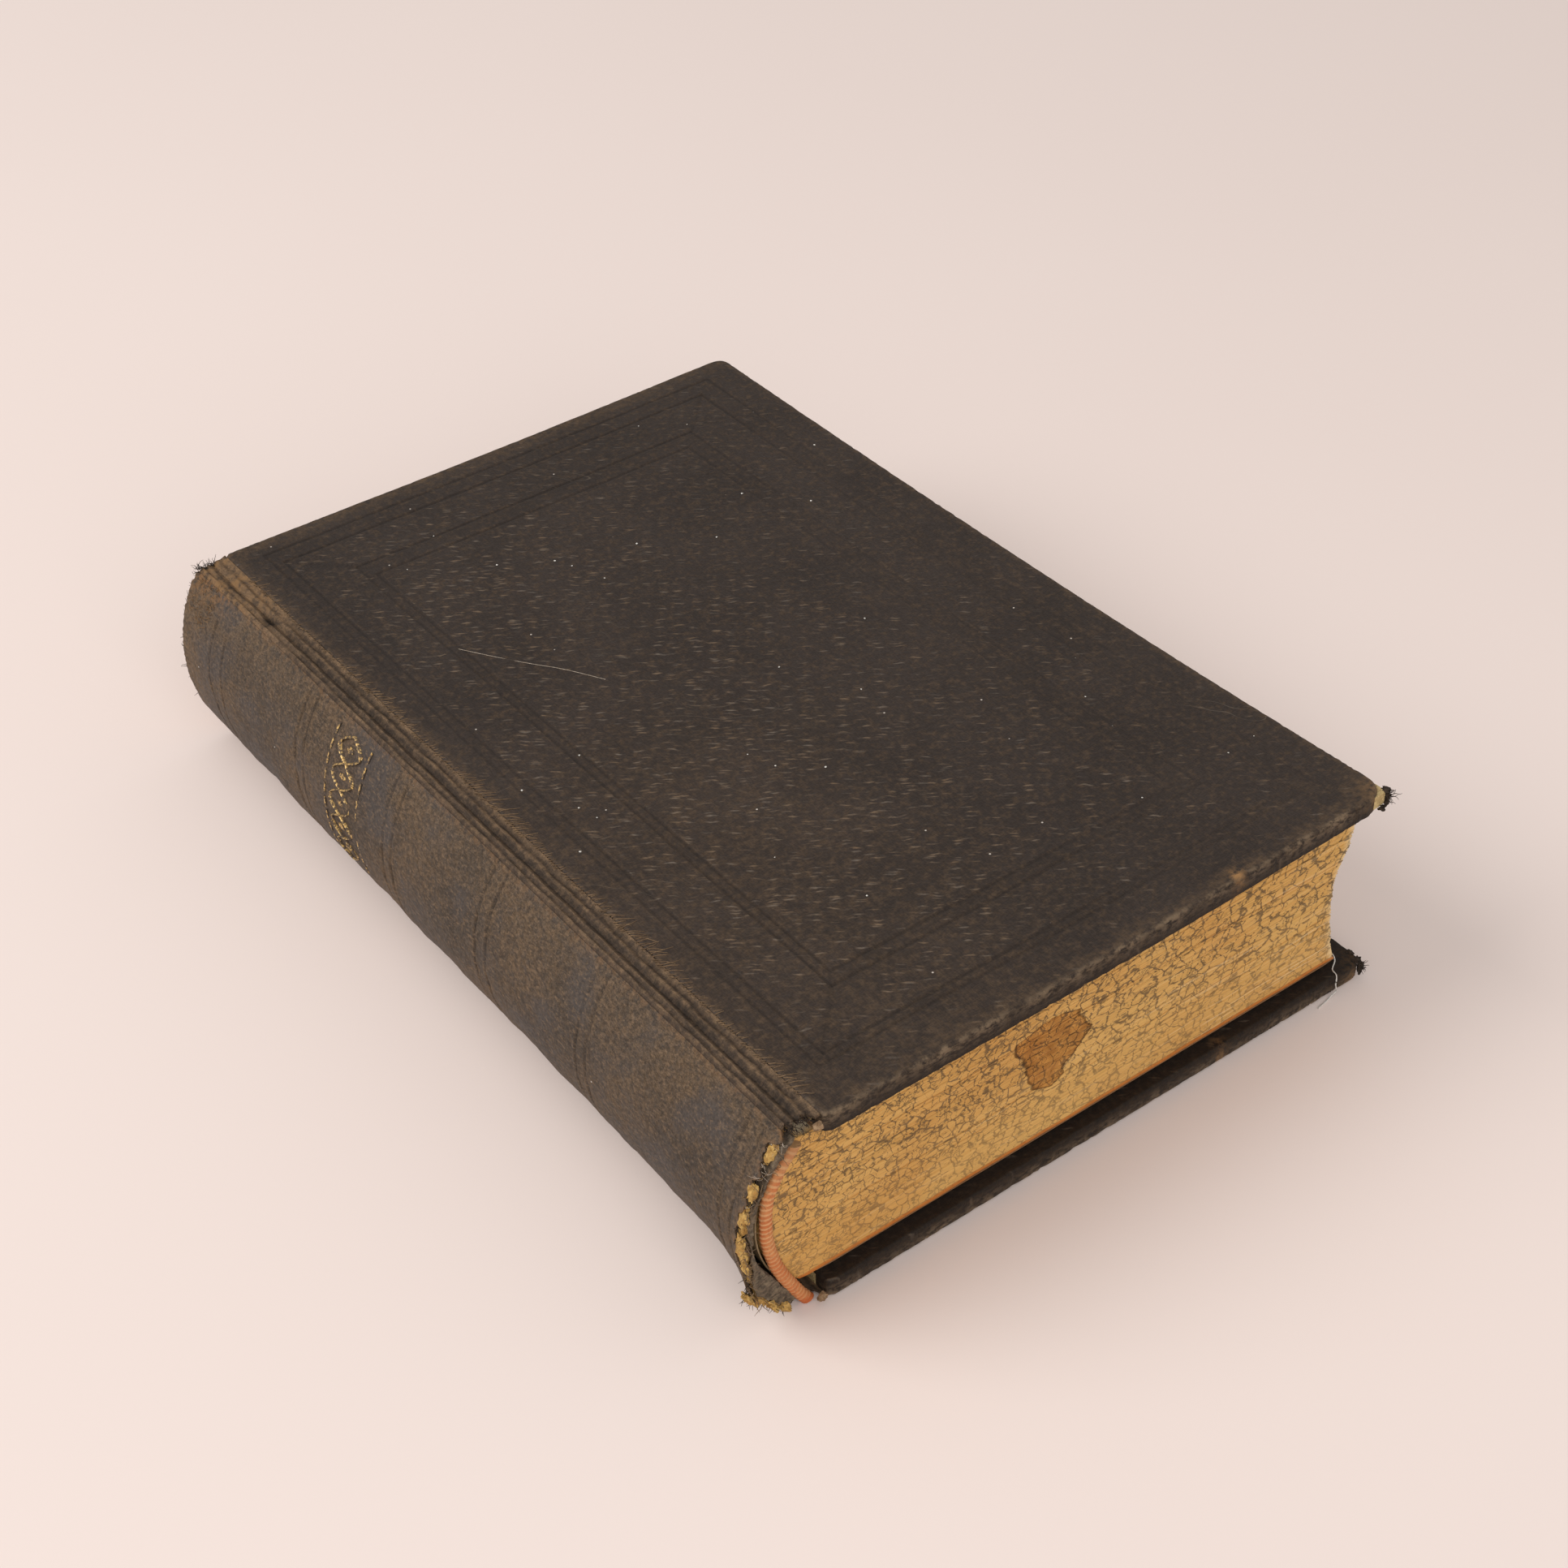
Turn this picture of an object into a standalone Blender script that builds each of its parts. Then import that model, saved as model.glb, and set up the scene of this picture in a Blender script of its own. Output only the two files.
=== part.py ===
"""A case-bound prayer book, closed and lying on its back cover.

Two cloth-covered boards and a hollow cloth spine hold a rounded block of sewn gatherings. X runs from
the spine to the fore edge, Y from the tail to the head and Z up through the thickness, in metres. The
origin is under the middle of the closed book, on the surface that it lies on.
"""

import math

import bmesh
import bpy
from mathutils import Matrix, Vector

# Driving dimensions of the closed book. X is counted from the middle of the joint's cloth strip,
# Y from the tail edge of the boards and Z from the surface under the back cover.
BOOK_HEIGHT = 0.1700
BOOK_THICKNESS = 0.0362
FORE_EDGE_X = 0.1085
BOARD_SPINE_X = 0.0026
SPINE_EDGE_X = -0.0023
SPINE_REACH_X = -0.0084

# The case: boards, their cloth and the spine strip.
CLOTH = 0.00045
BOARD = 0.0023
CASE_GAP = 0.0001
TURN_IN = 0.0155
CORNER_RADIUS = 0.0022
SPINE_EDGE_INSET = 0.0015
CAP_INSET = 0.0003
INLAY = 0.0005
INLAY_INSET = 0.0030
JOINT_CLEARANCE = 0.00018
JOINT_SPINE_DROP = 0.0013
JOINT_BOARD_DROP = 0.00015
GROOVE_DEPTH = 0.0004
HINGE_X = 0.0002
HINGE_DEPTH = 0.0009

# The endpapers and the block of gatherings.
GATHERINGS = 16
GATHERING_GAP = 0.0002
PAPER = 0.0002
PAPER_GAP = 0.00015
SQUARE = 0.0026
BLOCK_SPINE_X = -0.0003
BLOCK_ROUND = 0.0060
BLOCK_FORE_X = 0.1048
BLOCK_HOLLOW = 0.0032
PASTEDOWN_MARGIN = 0.0030
FLYLEAF_FOLD_X = 0.0025

# The lining on the rounded back of the block, counted outwards from it, and the headbands.
TAPE_WIDTH = 0.012
TAPES = 3
TAPE_LAYER = (0.00010, 0.00030)
MULL_LAYER = (0.00036, 0.00050)
LINING_LAYER = (0.00056, 0.00075)
MULL_INSET = 0.0180
TAPE_SPACING = 0.0480
KETTLE_INSET = 0.0120
KETTLE_THREAD = 0.0006
BAND_RADIUS = 0.00085
BAND_REACH = 0.0002
BAND_GAP = 0.0002

COVER = 2 * (CLOTH + CASE_GAP) + BOARD
STACK = CASE_GAP + 2 * (PAPER + PAPER_GAP)
BLOCK_BOTTOM = COVER + STACK
BLOCK_TOP = BOOK_THICKNESS - BLOCK_BOTTOM
GATHERING_PITCH = (BLOCK_TOP - BLOCK_BOTTOM + GATHERING_GAP) / GATHERINGS
MIDDLE_Z = BOOK_THICKNESS / 2
CENTRE = Vector(((FORE_EDGE_X + SPINE_REACH_X) / 2, BOOK_HEIGHT / 2, 0.0))
ARC_STEPS = 20

CLOTH_COLOUR = (0.030, 0.025, 0.021)
COLOURS = {
    "cover_cloth": (CLOTH_COLOUR, 0.72),
    "worn_cloth": ((0.085, 0.058, 0.034), 0.85),
    "board": ((0.46, 0.33, 0.17), 0.9),
    "paper": ((0.62, 0.50, 0.33), 0.85),
    "endpaper": ((0.66, 0.57, 0.42), 0.85),
    "mull": ((0.58, 0.51, 0.38), 0.95),
    "headband": ((0.66, 0.31, 0.18), 0.8),
    "thread": ((0.70, 0.64, 0.52), 0.8),
}


def arc_through(chord, rise):
    """The radius of an arc that rises this far above the middle of a chord."""
    return chord * chord / (8 * rise) + rise / 2


BLOCK_RADIUS = arc_through(BLOCK_TOP - BLOCK_BOTTOM, BLOCK_ROUND)
BLOCK_ARC_X = BLOCK_SPINE_X - BLOCK_ROUND + BLOCK_RADIUS
FORE_RADIUS = arc_through(BLOCK_TOP - BLOCK_BOTTOM, BLOCK_HOLLOW)
FORE_ARC_X = BLOCK_FORE_X - BLOCK_HOLLOW + FORE_RADIUS
SPINE_CHORD = BOOK_THICKNESS - 2 * SPINE_EDGE_INSET
SPINE_RADIUS = arc_through(SPINE_CHORD, SPINE_EDGE_X - SPINE_REACH_X)
SPINE_ARC_X = SPINE_REACH_X + SPINE_RADIUS


def clear_scene():
    for obj in list(bpy.data.objects):
        bpy.data.objects.remove(obj, do_unlink=True)


def make_material(name):
    colour, roughness = COLOURS[name]
    material = bpy.data.materials.new(name)
    material.use_nodes = True
    shader = material.node_tree.nodes["Principled BSDF"]
    shader.inputs["Base Color"].default_value = (*colour, 1.0)
    shader.inputs["Roughness"].default_value = roughness
    shader.inputs["Metallic"].default_value = 0.0
    return material


def make_body(name, parent=None, x=0.0, z=0.0):
    """An empty on the body's joint axis, parented to the body that it turns on."""
    body = bpy.data.objects.new(name, None)
    bpy.context.scene.collection.objects.link(body)
    body["pivot"] = (x - CENTRE.x, 0.0, z)
    body.location = body["pivot"]
    if parent:
        body.parent = parent
        body.location = Vector(body["pivot"]) - Vector(parent["pivot"])
    return body


def add_piece(name, mesh_data, material, body, smooth=False):
    """A solid from book coordinates, with its origin on the axis of the body that carries it."""
    bmesh.ops.recalc_face_normals(mesh_data, faces=mesh_data.faces)
    bmesh.ops.translate(mesh_data, verts=mesh_data.verts, vec=-CENTRE - Vector(body["pivot"]))
    mesh = bpy.data.meshes.new(name)
    mesh_data.to_mesh(mesh)
    mesh_data.free()
    mesh.materials.append(material)
    if smooth:
        mesh.shade_smooth()
        mesh.set_sharp_from_angle(angle=math.radians(35))
    piece = bpy.data.objects.new(name, mesh)
    bpy.context.scene.collection.objects.link(piece)
    piece.parent = body
    return piece


def loft(rings):
    """A closed solid through rings that all have the same number of points, capped at both ends."""
    solid = bmesh.new()
    loops = [[solid.verts.new(point) for point in ring] for ring in rings]
    for lower, upper in zip(loops, loops[1:]):
        for a in range(len(lower)):
            b = (a + 1) % len(lower)
            solid.faces.new((lower[a], lower[b], upper[b], upper[a]))
    solid.faces.new(loops[0])
    solid.faces.new(loops[-1])
    return solid


def box(x, y, z):
    """A box from its (low, high) pair along each axis."""
    outline = ((x[0], y[0]), (x[1], y[0]), (x[1], y[1]), (x[0], y[1]))
    return loft([[(a, b, c) for a, b in outline] for c in z])


def slab(x, y, z, radius, fillet=4):
    """A box whose two corners at the fore edge are rounded in plan."""
    outline = [(x[0], y[1]), (x[0], y[0])]
    for centre_y, start in ((y[0] + radius, -90), (y[1] - radius, 0)):
        for step in range(fillet + 1):
            angle = math.radians(start + 90 * step / fillet)
            outline.append((x[1] - radius + radius * math.cos(angle), centre_y + radius * math.sin(angle)))
    return loft([[(a, b, c) for a, b in outline] for c in z])


def arc_band(centre_x, radii, half_height, y, steps=ARC_STEPS):
    """A curved strip round an axis along Y, bulging towards -X, between two radii."""
    limit = math.asin(half_height / radii[1])
    rings = []
    for step in range(steps + 1):
        angle = limit * (2 * step / steps - 1)
        ring = []
        for radius, across in ((radii[0], y[0]), (radii[1], y[0]), (radii[1], y[1]), (radii[0], y[1])):
            ring.append((centre_x - radius * math.cos(angle), across, MIDDLE_Z + radius * math.sin(angle)))
        rings.append(ring)
    return loft(rings)


def arc_bead(centre_x, radius, half_height, y, bead, sides=8):
    """A round cord that lies on the same kind of arc."""
    limit = math.asin(half_height / radius)
    rings = []
    for step in range(ARC_STEPS + 1):
        angle = limit * (2 * step / ARC_STEPS - 1)
        ring = []
        for side in range(sides):
            turn = 2 * math.pi * (side + 0.5) / sides
            out = radius + bead * math.cos(turn)
            across = y + bead * math.sin(turn)
            ring.append((centre_x - out * math.cos(angle), across, MIDDLE_Z + out * math.sin(angle)))
        rings.append(ring)
    return loft(rings)


def turned_over(solid):
    """The same piece for the back cover: Z is mirrored about the middle of the book."""
    for vertex in solid.verts:
        vertex.co.z = BOOK_THICKNESS - vertex.co.z
    return solid


def cut(piece, cutter_data, name, body):
    """Takes a hidden cutter's shape out of a piece."""
    cutter = add_piece(name, cutter_data, piece.data.materials[0], body)
    cutter.hide_render = True
    cutter.display_type = "WIRE"
    modifier = piece.modifiers.new(name, "BOOLEAN")
    modifier.operation = "DIFFERENCE"
    modifier.solver = "EXACT"
    modifier.object = cutter


def make_cover(side, body, mirror, materials):
    """One cover: the board, the cloth folded over its three outer edges, and the pastedown inside."""
    top = BOOK_THICKNESS
    whole_y = (0.0, BOOK_HEIGHT)
    skin = CLOTH + CASE_GAP
    board_z = (top - skin - BOARD, top - skin)
    board_y = (skin, BOOK_HEIGHT - skin)
    board = slab((BOARD_SPINE_X, FORE_EDGE_X - skin), board_y, board_z, CORNER_RADIUS - skin)
    add_piece(f"{side}_board", mirror(board), materials["board"], body)

    cloth = slab((BOARD_SPINE_X, FORE_EDGE_X), whole_y, (top - COVER, top), CORNER_RADIUS)
    piece = add_piece(f"{side}_cover_cloth", mirror(cloth), materials["cover_cloth"], body)
    past_spine = BOARD_SPINE_X - 2 * CORNER_RADIUS
    slot_y = (CLOTH, BOOK_HEIGHT - CLOTH)
    slot_z = (top - COVER + CLOTH, top - CLOTH)
    slot = slab((past_spine, FORE_EDGE_X - CLOTH), slot_y, slot_z, CORNER_RADIUS - CLOTH)
    cut(piece, mirror(slot), f"{side}_board_slot", body)
    window_y = (TURN_IN, BOOK_HEIGHT - TURN_IN)
    window_z = (top - COVER - CLOTH, top - COVER + 2 * CLOTH)
    window = box((past_spine, FORE_EDGE_X - TURN_IN), window_y, window_z)
    cut(piece, mirror(window), f"{side}_turn_in_window", body)

    paper_top = top - COVER - CASE_GAP
    paper_x = (BOARD_SPINE_X, FORE_EDGE_X - PASTEDOWN_MARGIN)
    paper_y = (PASTEDOWN_MARGIN, BOOK_HEIGHT - PASTEDOWN_MARGIN)
    pastedown = box(paper_x, paper_y, (paper_top - PAPER, paper_top))
    add_piece(f"{side}_pastedown", mirror(pastedown), materials["endpaper"], body)


def make_joint_cloth(side, body, mirror, materials):
    """The strip of case cloth in the groove between a board and the spine, pressed in along its middle."""
    start = SPINE_EDGE_X + CLOTH + JOINT_CLEARANCE
    end = BOARD_SPINE_X - JOINT_CLEARANCE
    steps = 8
    rings = []
    for step in range(steps + 1):
        along = step / steps
        x = start + (end - start) * along
        drop = JOINT_SPINE_DROP + (JOINT_BOARD_DROP - JOINT_SPINE_DROP) * along
        z = BOOK_THICKNESS - drop - GROOVE_DEPTH * math.sin(math.pi * along)
        corners = ((0.0, z), (BOOK_HEIGHT, z), (BOOK_HEIGHT, z - CLOTH), (0.0, z - CLOTH))
        rings.append([(x, y, height) for y, height in corners])
    add_piece(f"{side}_joint_cloth", mirror(loft(rings)), materials["worn_cloth"], body, smooth=True)


def make_flyleaf(side, body, mirror, materials):
    """The free leaf of an endpaper, from the fold where it is pasted to the block out to the fore edge."""
    top = BOOK_THICKNESS - COVER - CASE_GAP - PAPER - PAPER_GAP
    sheet = box((FLYLEAF_FOLD_X, BLOCK_FORE_X), (SQUARE, BOOK_HEIGHT - SQUARE), (top - PAPER, top))
    add_piece(f"{side}_flyleaf", mirror(sheet), materials["endpaper"], body)


def make_spine(body, materials):
    """The cloth of the hollow back and the card strip that stiffens it."""
    half = SPINE_CHORD / 2
    cloth_radii = (SPINE_RADIUS - CLOTH, SPINE_RADIUS)
    cloth_y = (CAP_INSET, BOOK_HEIGHT - CAP_INSET)
    cloth = arc_band(SPINE_ARC_X, cloth_radii, half, cloth_y)
    add_piece("spine_cloth", cloth, materials["cover_cloth"], body, smooth=True)
    inlay_top = SPINE_RADIUS - CLOTH - CASE_GAP
    inlay_y = (INLAY_INSET, BOOK_HEIGHT - INLAY_INSET)
    inlay = arc_band(SPINE_ARC_X, (inlay_top - INLAY, inlay_top), half - 2 * CLOTH, inlay_y)
    add_piece("spine_inlay", inlay, materials["board"], body, smooth=True)


def arc_x(centre_x, radius, z):
    """Where an arc round an axis at the middle height stands at a height, on its spine side."""
    return centre_x - math.sqrt(radius**2 - (z - MIDDLE_Z) ** 2)


def make_gathering(number, body, materials):
    """One folded and sewn gathering, with its share of the rounded back and the hollow fore edge."""
    high = BLOCK_TOP - GATHERING_PITCH * (number - 1)
    low = high - GATHERING_PITCH + GATHERING_GAP
    heights = [low, (low + high) / 2, high]
    spine_side = [(arc_x(BLOCK_ARC_X, BLOCK_RADIUS, z), z) for z in heights]
    fore_side = [(arc_x(FORE_ARC_X, FORE_RADIUS, z), z) for z in heights]
    outline = spine_side + fore_side[::-1]
    solid = loft([[(x, y, z) for x, z in outline] for y in (SQUARE, BOOK_HEIGHT - SQUARE)])
    add_piece(f"gathering_{number:02d}", solid, materials["paper"], body)


def make_back_lining(body, materials):
    """What is sewn and glued to the rounded back: tapes, kettle stitches, mull, paper and headbands."""
    half = (BLOCK_TOP - BLOCK_BOTTOM) / 2

    def layer(name, depths, y, material):
        radii = [BLOCK_RADIUS + depth for depth in depths]
        add_piece(name, arc_band(BLOCK_ARC_X, radii, half, y), materials[material], body, smooth=True)

    for number in range(TAPES):
        middle = BOOK_HEIGHT / 2 + TAPE_SPACING * (number - (TAPES - 1) / 2)
        span = (middle - TAPE_WIDTH / 2, middle + TAPE_WIDTH / 2)
        layer(f"sewing_tape_{number + 1}", TAPE_LAYER, span, "thread")
    layer("mull", MULL_LAYER, (MULL_INSET, BOOK_HEIGHT - MULL_INSET), "mull")
    layer("spine_lining", LINING_LAYER, (SQUARE, BOOK_HEIGHT - SQUARE), "paper")
    for end, y in (("tail", KETTLE_INSET), ("head", BOOK_HEIGHT - KETTLE_INSET)):
        span = (y - KETTLE_THREAD / 2, y + KETTLE_THREAD / 2)
        layer(f"{end}_kettle_stitch", TAPE_LAYER, span, "thread")
    band_y = SQUARE - BAND_GAP - BAND_RADIUS
    for end, y in (("tail", band_y), ("head", BOOK_HEIGHT - band_y)):
        bead = arc_bead(BLOCK_ARC_X, BLOCK_RADIUS + BAND_REACH, half - BAND_RADIUS, y, BAND_RADIUS)
        add_piece(f"{end}_band", bead, materials["headband"], body, smooth=True)


def plain(solid):
    return solid


def build():
    clear_scene()
    materials = {name: make_material(name) for name in COLOURS}

    back_cover = make_body("back_cover")
    make_cover("back", back_cover, turned_over, materials)
    make_joint_cloth("back", back_cover, turned_over, materials)
    back_leaf = make_body("back_leaf", back_cover, HINGE_X, HINGE_DEPTH)
    make_flyleaf("back", back_leaf, turned_over, materials)

    leaf_plane = COVER + CASE_GAP + 2 * PAPER + 1.5 * PAPER_GAP
    below = make_body(f"block_{GATHERINGS:02d}", back_leaf, FLYLEAF_FOLD_X, leaf_plane)
    make_gathering(GATHERINGS, below, materials)
    spine = make_body("spine", below, SPINE_EDGE_X, SPINE_EDGE_INSET)
    make_spine(spine, materials)
    for number in range(GATHERINGS - 1, 0, -1):
        fold = BLOCK_TOP - GATHERING_PITCH * number + GATHERING_GAP / 2
        fold_x = arc_x(BLOCK_ARC_X, BLOCK_RADIUS, fold)
        below = make_body(f"block_{number:02d}", below, fold_x, fold)
        make_gathering(number, below, materials)
        if number == GATHERINGS // 2:
            make_back_lining(below, materials)

    front_leaf = make_body("front_leaf", below, FLYLEAF_FOLD_X, BOOK_THICKNESS - leaf_plane)
    make_flyleaf("front", front_leaf, plain, materials)
    front_cover = make_body("front_cover", front_leaf, HINGE_X, BOOK_THICKNESS - HINGE_DEPTH)
    make_cover("front", front_cover, plain, materials)
    make_joint_cloth("front", front_cover, plain, materials)


build()
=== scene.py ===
import math

import bpy
import numpy as np
from mathutils import Matrix, Vector


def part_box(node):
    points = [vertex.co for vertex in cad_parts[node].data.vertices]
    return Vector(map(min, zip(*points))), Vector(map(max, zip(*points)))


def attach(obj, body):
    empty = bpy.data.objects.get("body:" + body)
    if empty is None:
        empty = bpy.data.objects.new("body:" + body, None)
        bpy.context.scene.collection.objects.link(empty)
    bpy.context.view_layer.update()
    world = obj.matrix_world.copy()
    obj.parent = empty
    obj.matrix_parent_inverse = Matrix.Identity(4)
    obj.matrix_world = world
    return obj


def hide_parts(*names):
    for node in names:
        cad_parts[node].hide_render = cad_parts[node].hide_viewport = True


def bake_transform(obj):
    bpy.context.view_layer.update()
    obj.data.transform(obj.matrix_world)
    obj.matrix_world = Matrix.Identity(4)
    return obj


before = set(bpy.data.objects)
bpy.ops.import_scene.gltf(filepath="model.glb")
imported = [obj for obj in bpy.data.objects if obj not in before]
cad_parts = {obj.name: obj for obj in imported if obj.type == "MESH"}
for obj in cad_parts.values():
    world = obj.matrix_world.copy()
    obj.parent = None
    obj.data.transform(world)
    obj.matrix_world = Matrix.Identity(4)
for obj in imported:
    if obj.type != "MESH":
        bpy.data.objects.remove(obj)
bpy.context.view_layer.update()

# Book coordinates are in millimetres: X from the joint to the fore edge, Y from tail to head, Z up.
MM = 0.001
COVER_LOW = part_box("front_cover_cloth")[0]
BOARD_SPINE_X = 2.6
ORIGIN = np.array([COVER_LOW.x - BOARD_SPINE_X * MM, COVER_LOW.y, 0.0])


def book_box(node):
    """The box of a CAD node, in book coordinates."""
    low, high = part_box(node)
    return (np.array(low) - ORIGIN) / MM, (np.array(high) - ORIGIN) / MM


HEIGHT = book_box("front_cover_cloth")[1][1]
FORE_X = book_box("front_cover_cloth")[1][0]
TOP = book_box("front_cover_cloth")[1][2]
COVER = TOP - book_box("front_cover_cloth")[0][2]
MIDDLE_Z = TOP / 2
TAIL_Y = book_box("gathering_01")[0][1]
HEAD_Y = book_box("gathering_01")[1][1]
BLOCK_LOW = book_box("gathering_16")[0][2]
BLOCK_HIGH = book_box("gathering_01")[1][2]
GATHERINGS = 16
GRAIN_WAY = (0.81, -0.58)
GRAIN_ANGLE = math.atan2(GRAIN_WAY[1], GRAIN_WAY[0])
SHARP_ANGLE = math.radians(50)
FIBRE_ROUGHNESS = 0.85


# ---------------------------------------------------------------- geometry helpers

def waves(points, length, seed, count=10):
    """A smooth wandering value, about -1 to 1, over points, with bumps about length wide."""
    rng = np.random.default_rng(seed)
    directions = rng.normal(size=(count, points.shape[-1]))
    directions /= np.linalg.norm(directions, axis=1, keepdims=True)
    lengths = length * rng.uniform(0.7, 1.6, count)
    phases = rng.uniform(0, 2 * math.pi, count)
    angle = points @ (directions / lengths[:, None]).T * 2 * math.pi + phases
    return np.cos(angle).sum(-1) / math.sqrt(count)


def bump_at(values, centre, width):
    """A smooth hill, 1 high at centre."""
    return np.exp(-(((values - centre) / width) ** 2))


def smooth(low, high, values):
    """0 at low and 1 at high, easing in and out between them."""
    t = np.clip((values - low) / (high - low), 0, 1)
    return t * t * (3 - 2 * t)


def refined(start, stop, step, marks=(), spread=(0.0,)):
    """Even places from start to stop, with extra ones at each mark plus each of spread."""
    count = max(1, round((stop - start) / step))
    values = set(np.round(np.linspace(start, stop, count + 1), 4))
    for mark in marks:
        values |= {round(mark + offset, 4) for offset in spread if start < mark + offset < stop}
    ordered = sorted(values)
    kept = [ordered[0]]
    for value in ordered[1:]:
        if value - kept[-1] > 0.015:
            kept.append(value)
    return np.array(kept)


def grid(*axes):
    """Points, or plan places, from their coordinates."""
    return np.stack(np.broadcast_arrays(*axes), -1)


def quads(index):
    """The faces of a grid of point numbers."""
    return np.stack([index[:-1, :-1], index[1:, :-1], index[1:, 1:], index[:-1, 1:]], -1).reshape(-1, 4)


def ring_quads(rings, sides, start=0, order=(0, 1, 2, 3)):
    """The faces between rings of points that follow each other, each with its corners in order."""
    index = start + np.arange(rings * sides).reshape(rings, sides)
    after = np.roll(index, -1, axis=1)
    faces = np.stack([index[:-1], after[:-1], after[1:], index[1:]], -1).reshape(-1, 4)
    return faces[:, order].tolist()


def shell(upper, lower):
    """Points and faces of the closed solid between two grids of one shape."""
    rows, columns = upper.shape[:2]
    count = rows * columns
    index = np.arange(count).reshape(rows, columns)
    rim = np.concatenate([index[:-1, 0], index[-1, :-1], index[:0:-1, -1], index[0, :0:-1]])
    after = np.roll(rim, -1)
    walls = np.stack([rim, rim + count, after + count, after], -1)
    faces = np.concatenate([quads(index), quads(index + count)[:, ::-1], walls])
    return np.concatenate([upper.reshape(-1, 3), lower.reshape(-1, 3)]), faces


def join(parts):
    """One set of points and faces, and of values, from several."""
    points = []
    faces = []
    values = {}
    start = 0
    for part in parts:
        points.append(part[0])
        faces += [[int(i) + start for i in face] for face in part[1]]
        for key, numbers in (part[2] if len(part) > 2 else {}).items():
            values.setdefault(key, []).append(numbers)
        start += len(part[0])
    return np.concatenate(points), faces, {k: np.concatenate(v) for k, v in values.items()}


def tube(path, radii, sides=6, flat=1.0):
    """A closed round strand along path; flat squeezes it in Z."""
    path = np.asarray(path, float)
    radii = np.broadcast_to(radii, (len(path),))
    along = np.gradient(path, axis=0)
    along /= np.linalg.norm(along, axis=1, keepdims=True)
    reference = np.where(np.abs(along[:, 2:3]) > 0.9, [[1.0, 0, 0]], [[0.0, 0, 1.0]])
    side = np.cross(reference, along)
    side /= np.linalg.norm(side, axis=1, keepdims=True)
    over = np.cross(along, side)
    turn = np.linspace(0, 2 * math.pi, sides, endpoint=False)
    ring = side[:, None] * np.cos(turn)[None, :, None] + over[:, None] * np.sin(turn)[None, :, None] * flat
    points = (path[:, None] + ring * radii[:, None, None]).reshape(-1, 3)
    ends = [list(range(sides))[::-1], list(range(len(points) - sides, len(points)))]
    return points, ring_quads(len(path), sides) + ends


def lump(centre, size, seed, rough=0.28, lean=0.0):
    """A torn crumb: a ball pushed in and out; size is a number or three, lean turns it about Y."""
    rings = 12
    sides = 16
    tall = np.linspace(0, math.pi, rings + 1)[1:-1]
    turn = np.linspace(0, 2 * math.pi, sides, endpoint=False)
    ball = np.array([[0, 0, 1.0]] + [
        [math.sin(a) * math.cos(b), math.sin(a) * math.sin(b), math.cos(a)] for a in tall for b in turn
    ] + [[0, 0, -1.0]])
    reach = 1 + rough * waves(ball, 1.1, seed) * 0.6 + rough * 0.5 * waves(ball, 0.45, seed + 1)
    points = ball * reach[:, None] * np.broadcast_to(size, 3) * 0.5
    turned = Matrix.Rotation(lean, 3, "Y")
    points = points @ np.array(turned).T + np.asarray(centre, float)
    faces = [[0, 1 + j, 1 + (j + 1) % sides] for j in range(sides)]
    faces += ring_quads(rings - 1, sides, 1, (0, 3, 2, 1))
    last = len(points) - 1
    start = 1 + (rings - 2) * sides
    faces += [[start + j, last, start + (j + 1) % sides] for j in range(sides)]
    return points, faces


def make_piece(name, part, look, slot, body=None, *nodes):
    """A piece from points in book coordinates, faces and point values; it rides body and stands for nodes."""
    points, faces, *values = part
    mesh = bpy.data.meshes.new(name)
    mesh.from_pydata((np.asarray(points) * MM + ORIGIN).tolist(), [], [list(map(int, f)) for f in faces])
    mesh.polygons.foreach_set("use_smooth", [True] * len(mesh.polygons))
    mesh.set_sharp_from_angle(angle=SHARP_ANGLE)
    for key, numbers in (values[0] if values else {}).items():
        mesh.attributes.new(key, "FLOAT", "POINT").data.foreach_set("value", np.asarray(numbers, np.float32))
    # Each piece remembers where its points lie on the book at rest, so that a bending one keeps its pattern.
    stored = mesh.attributes.new("place", "FLOAT_VECTOR", "POINT")
    stored.data.foreach_set("vector", np.asarray(points, np.float32).ravel())
    mesh.materials.append(LOOKS[look])
    piece = bpy.data.objects.new(name, mesh)
    bpy.context.scene.collection.objects.link(piece)
    if nodes:
        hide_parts(*nodes)
    if body:
        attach(piece, body)
    return piece


# ---------------------------------------------------------------- material helpers

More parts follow.
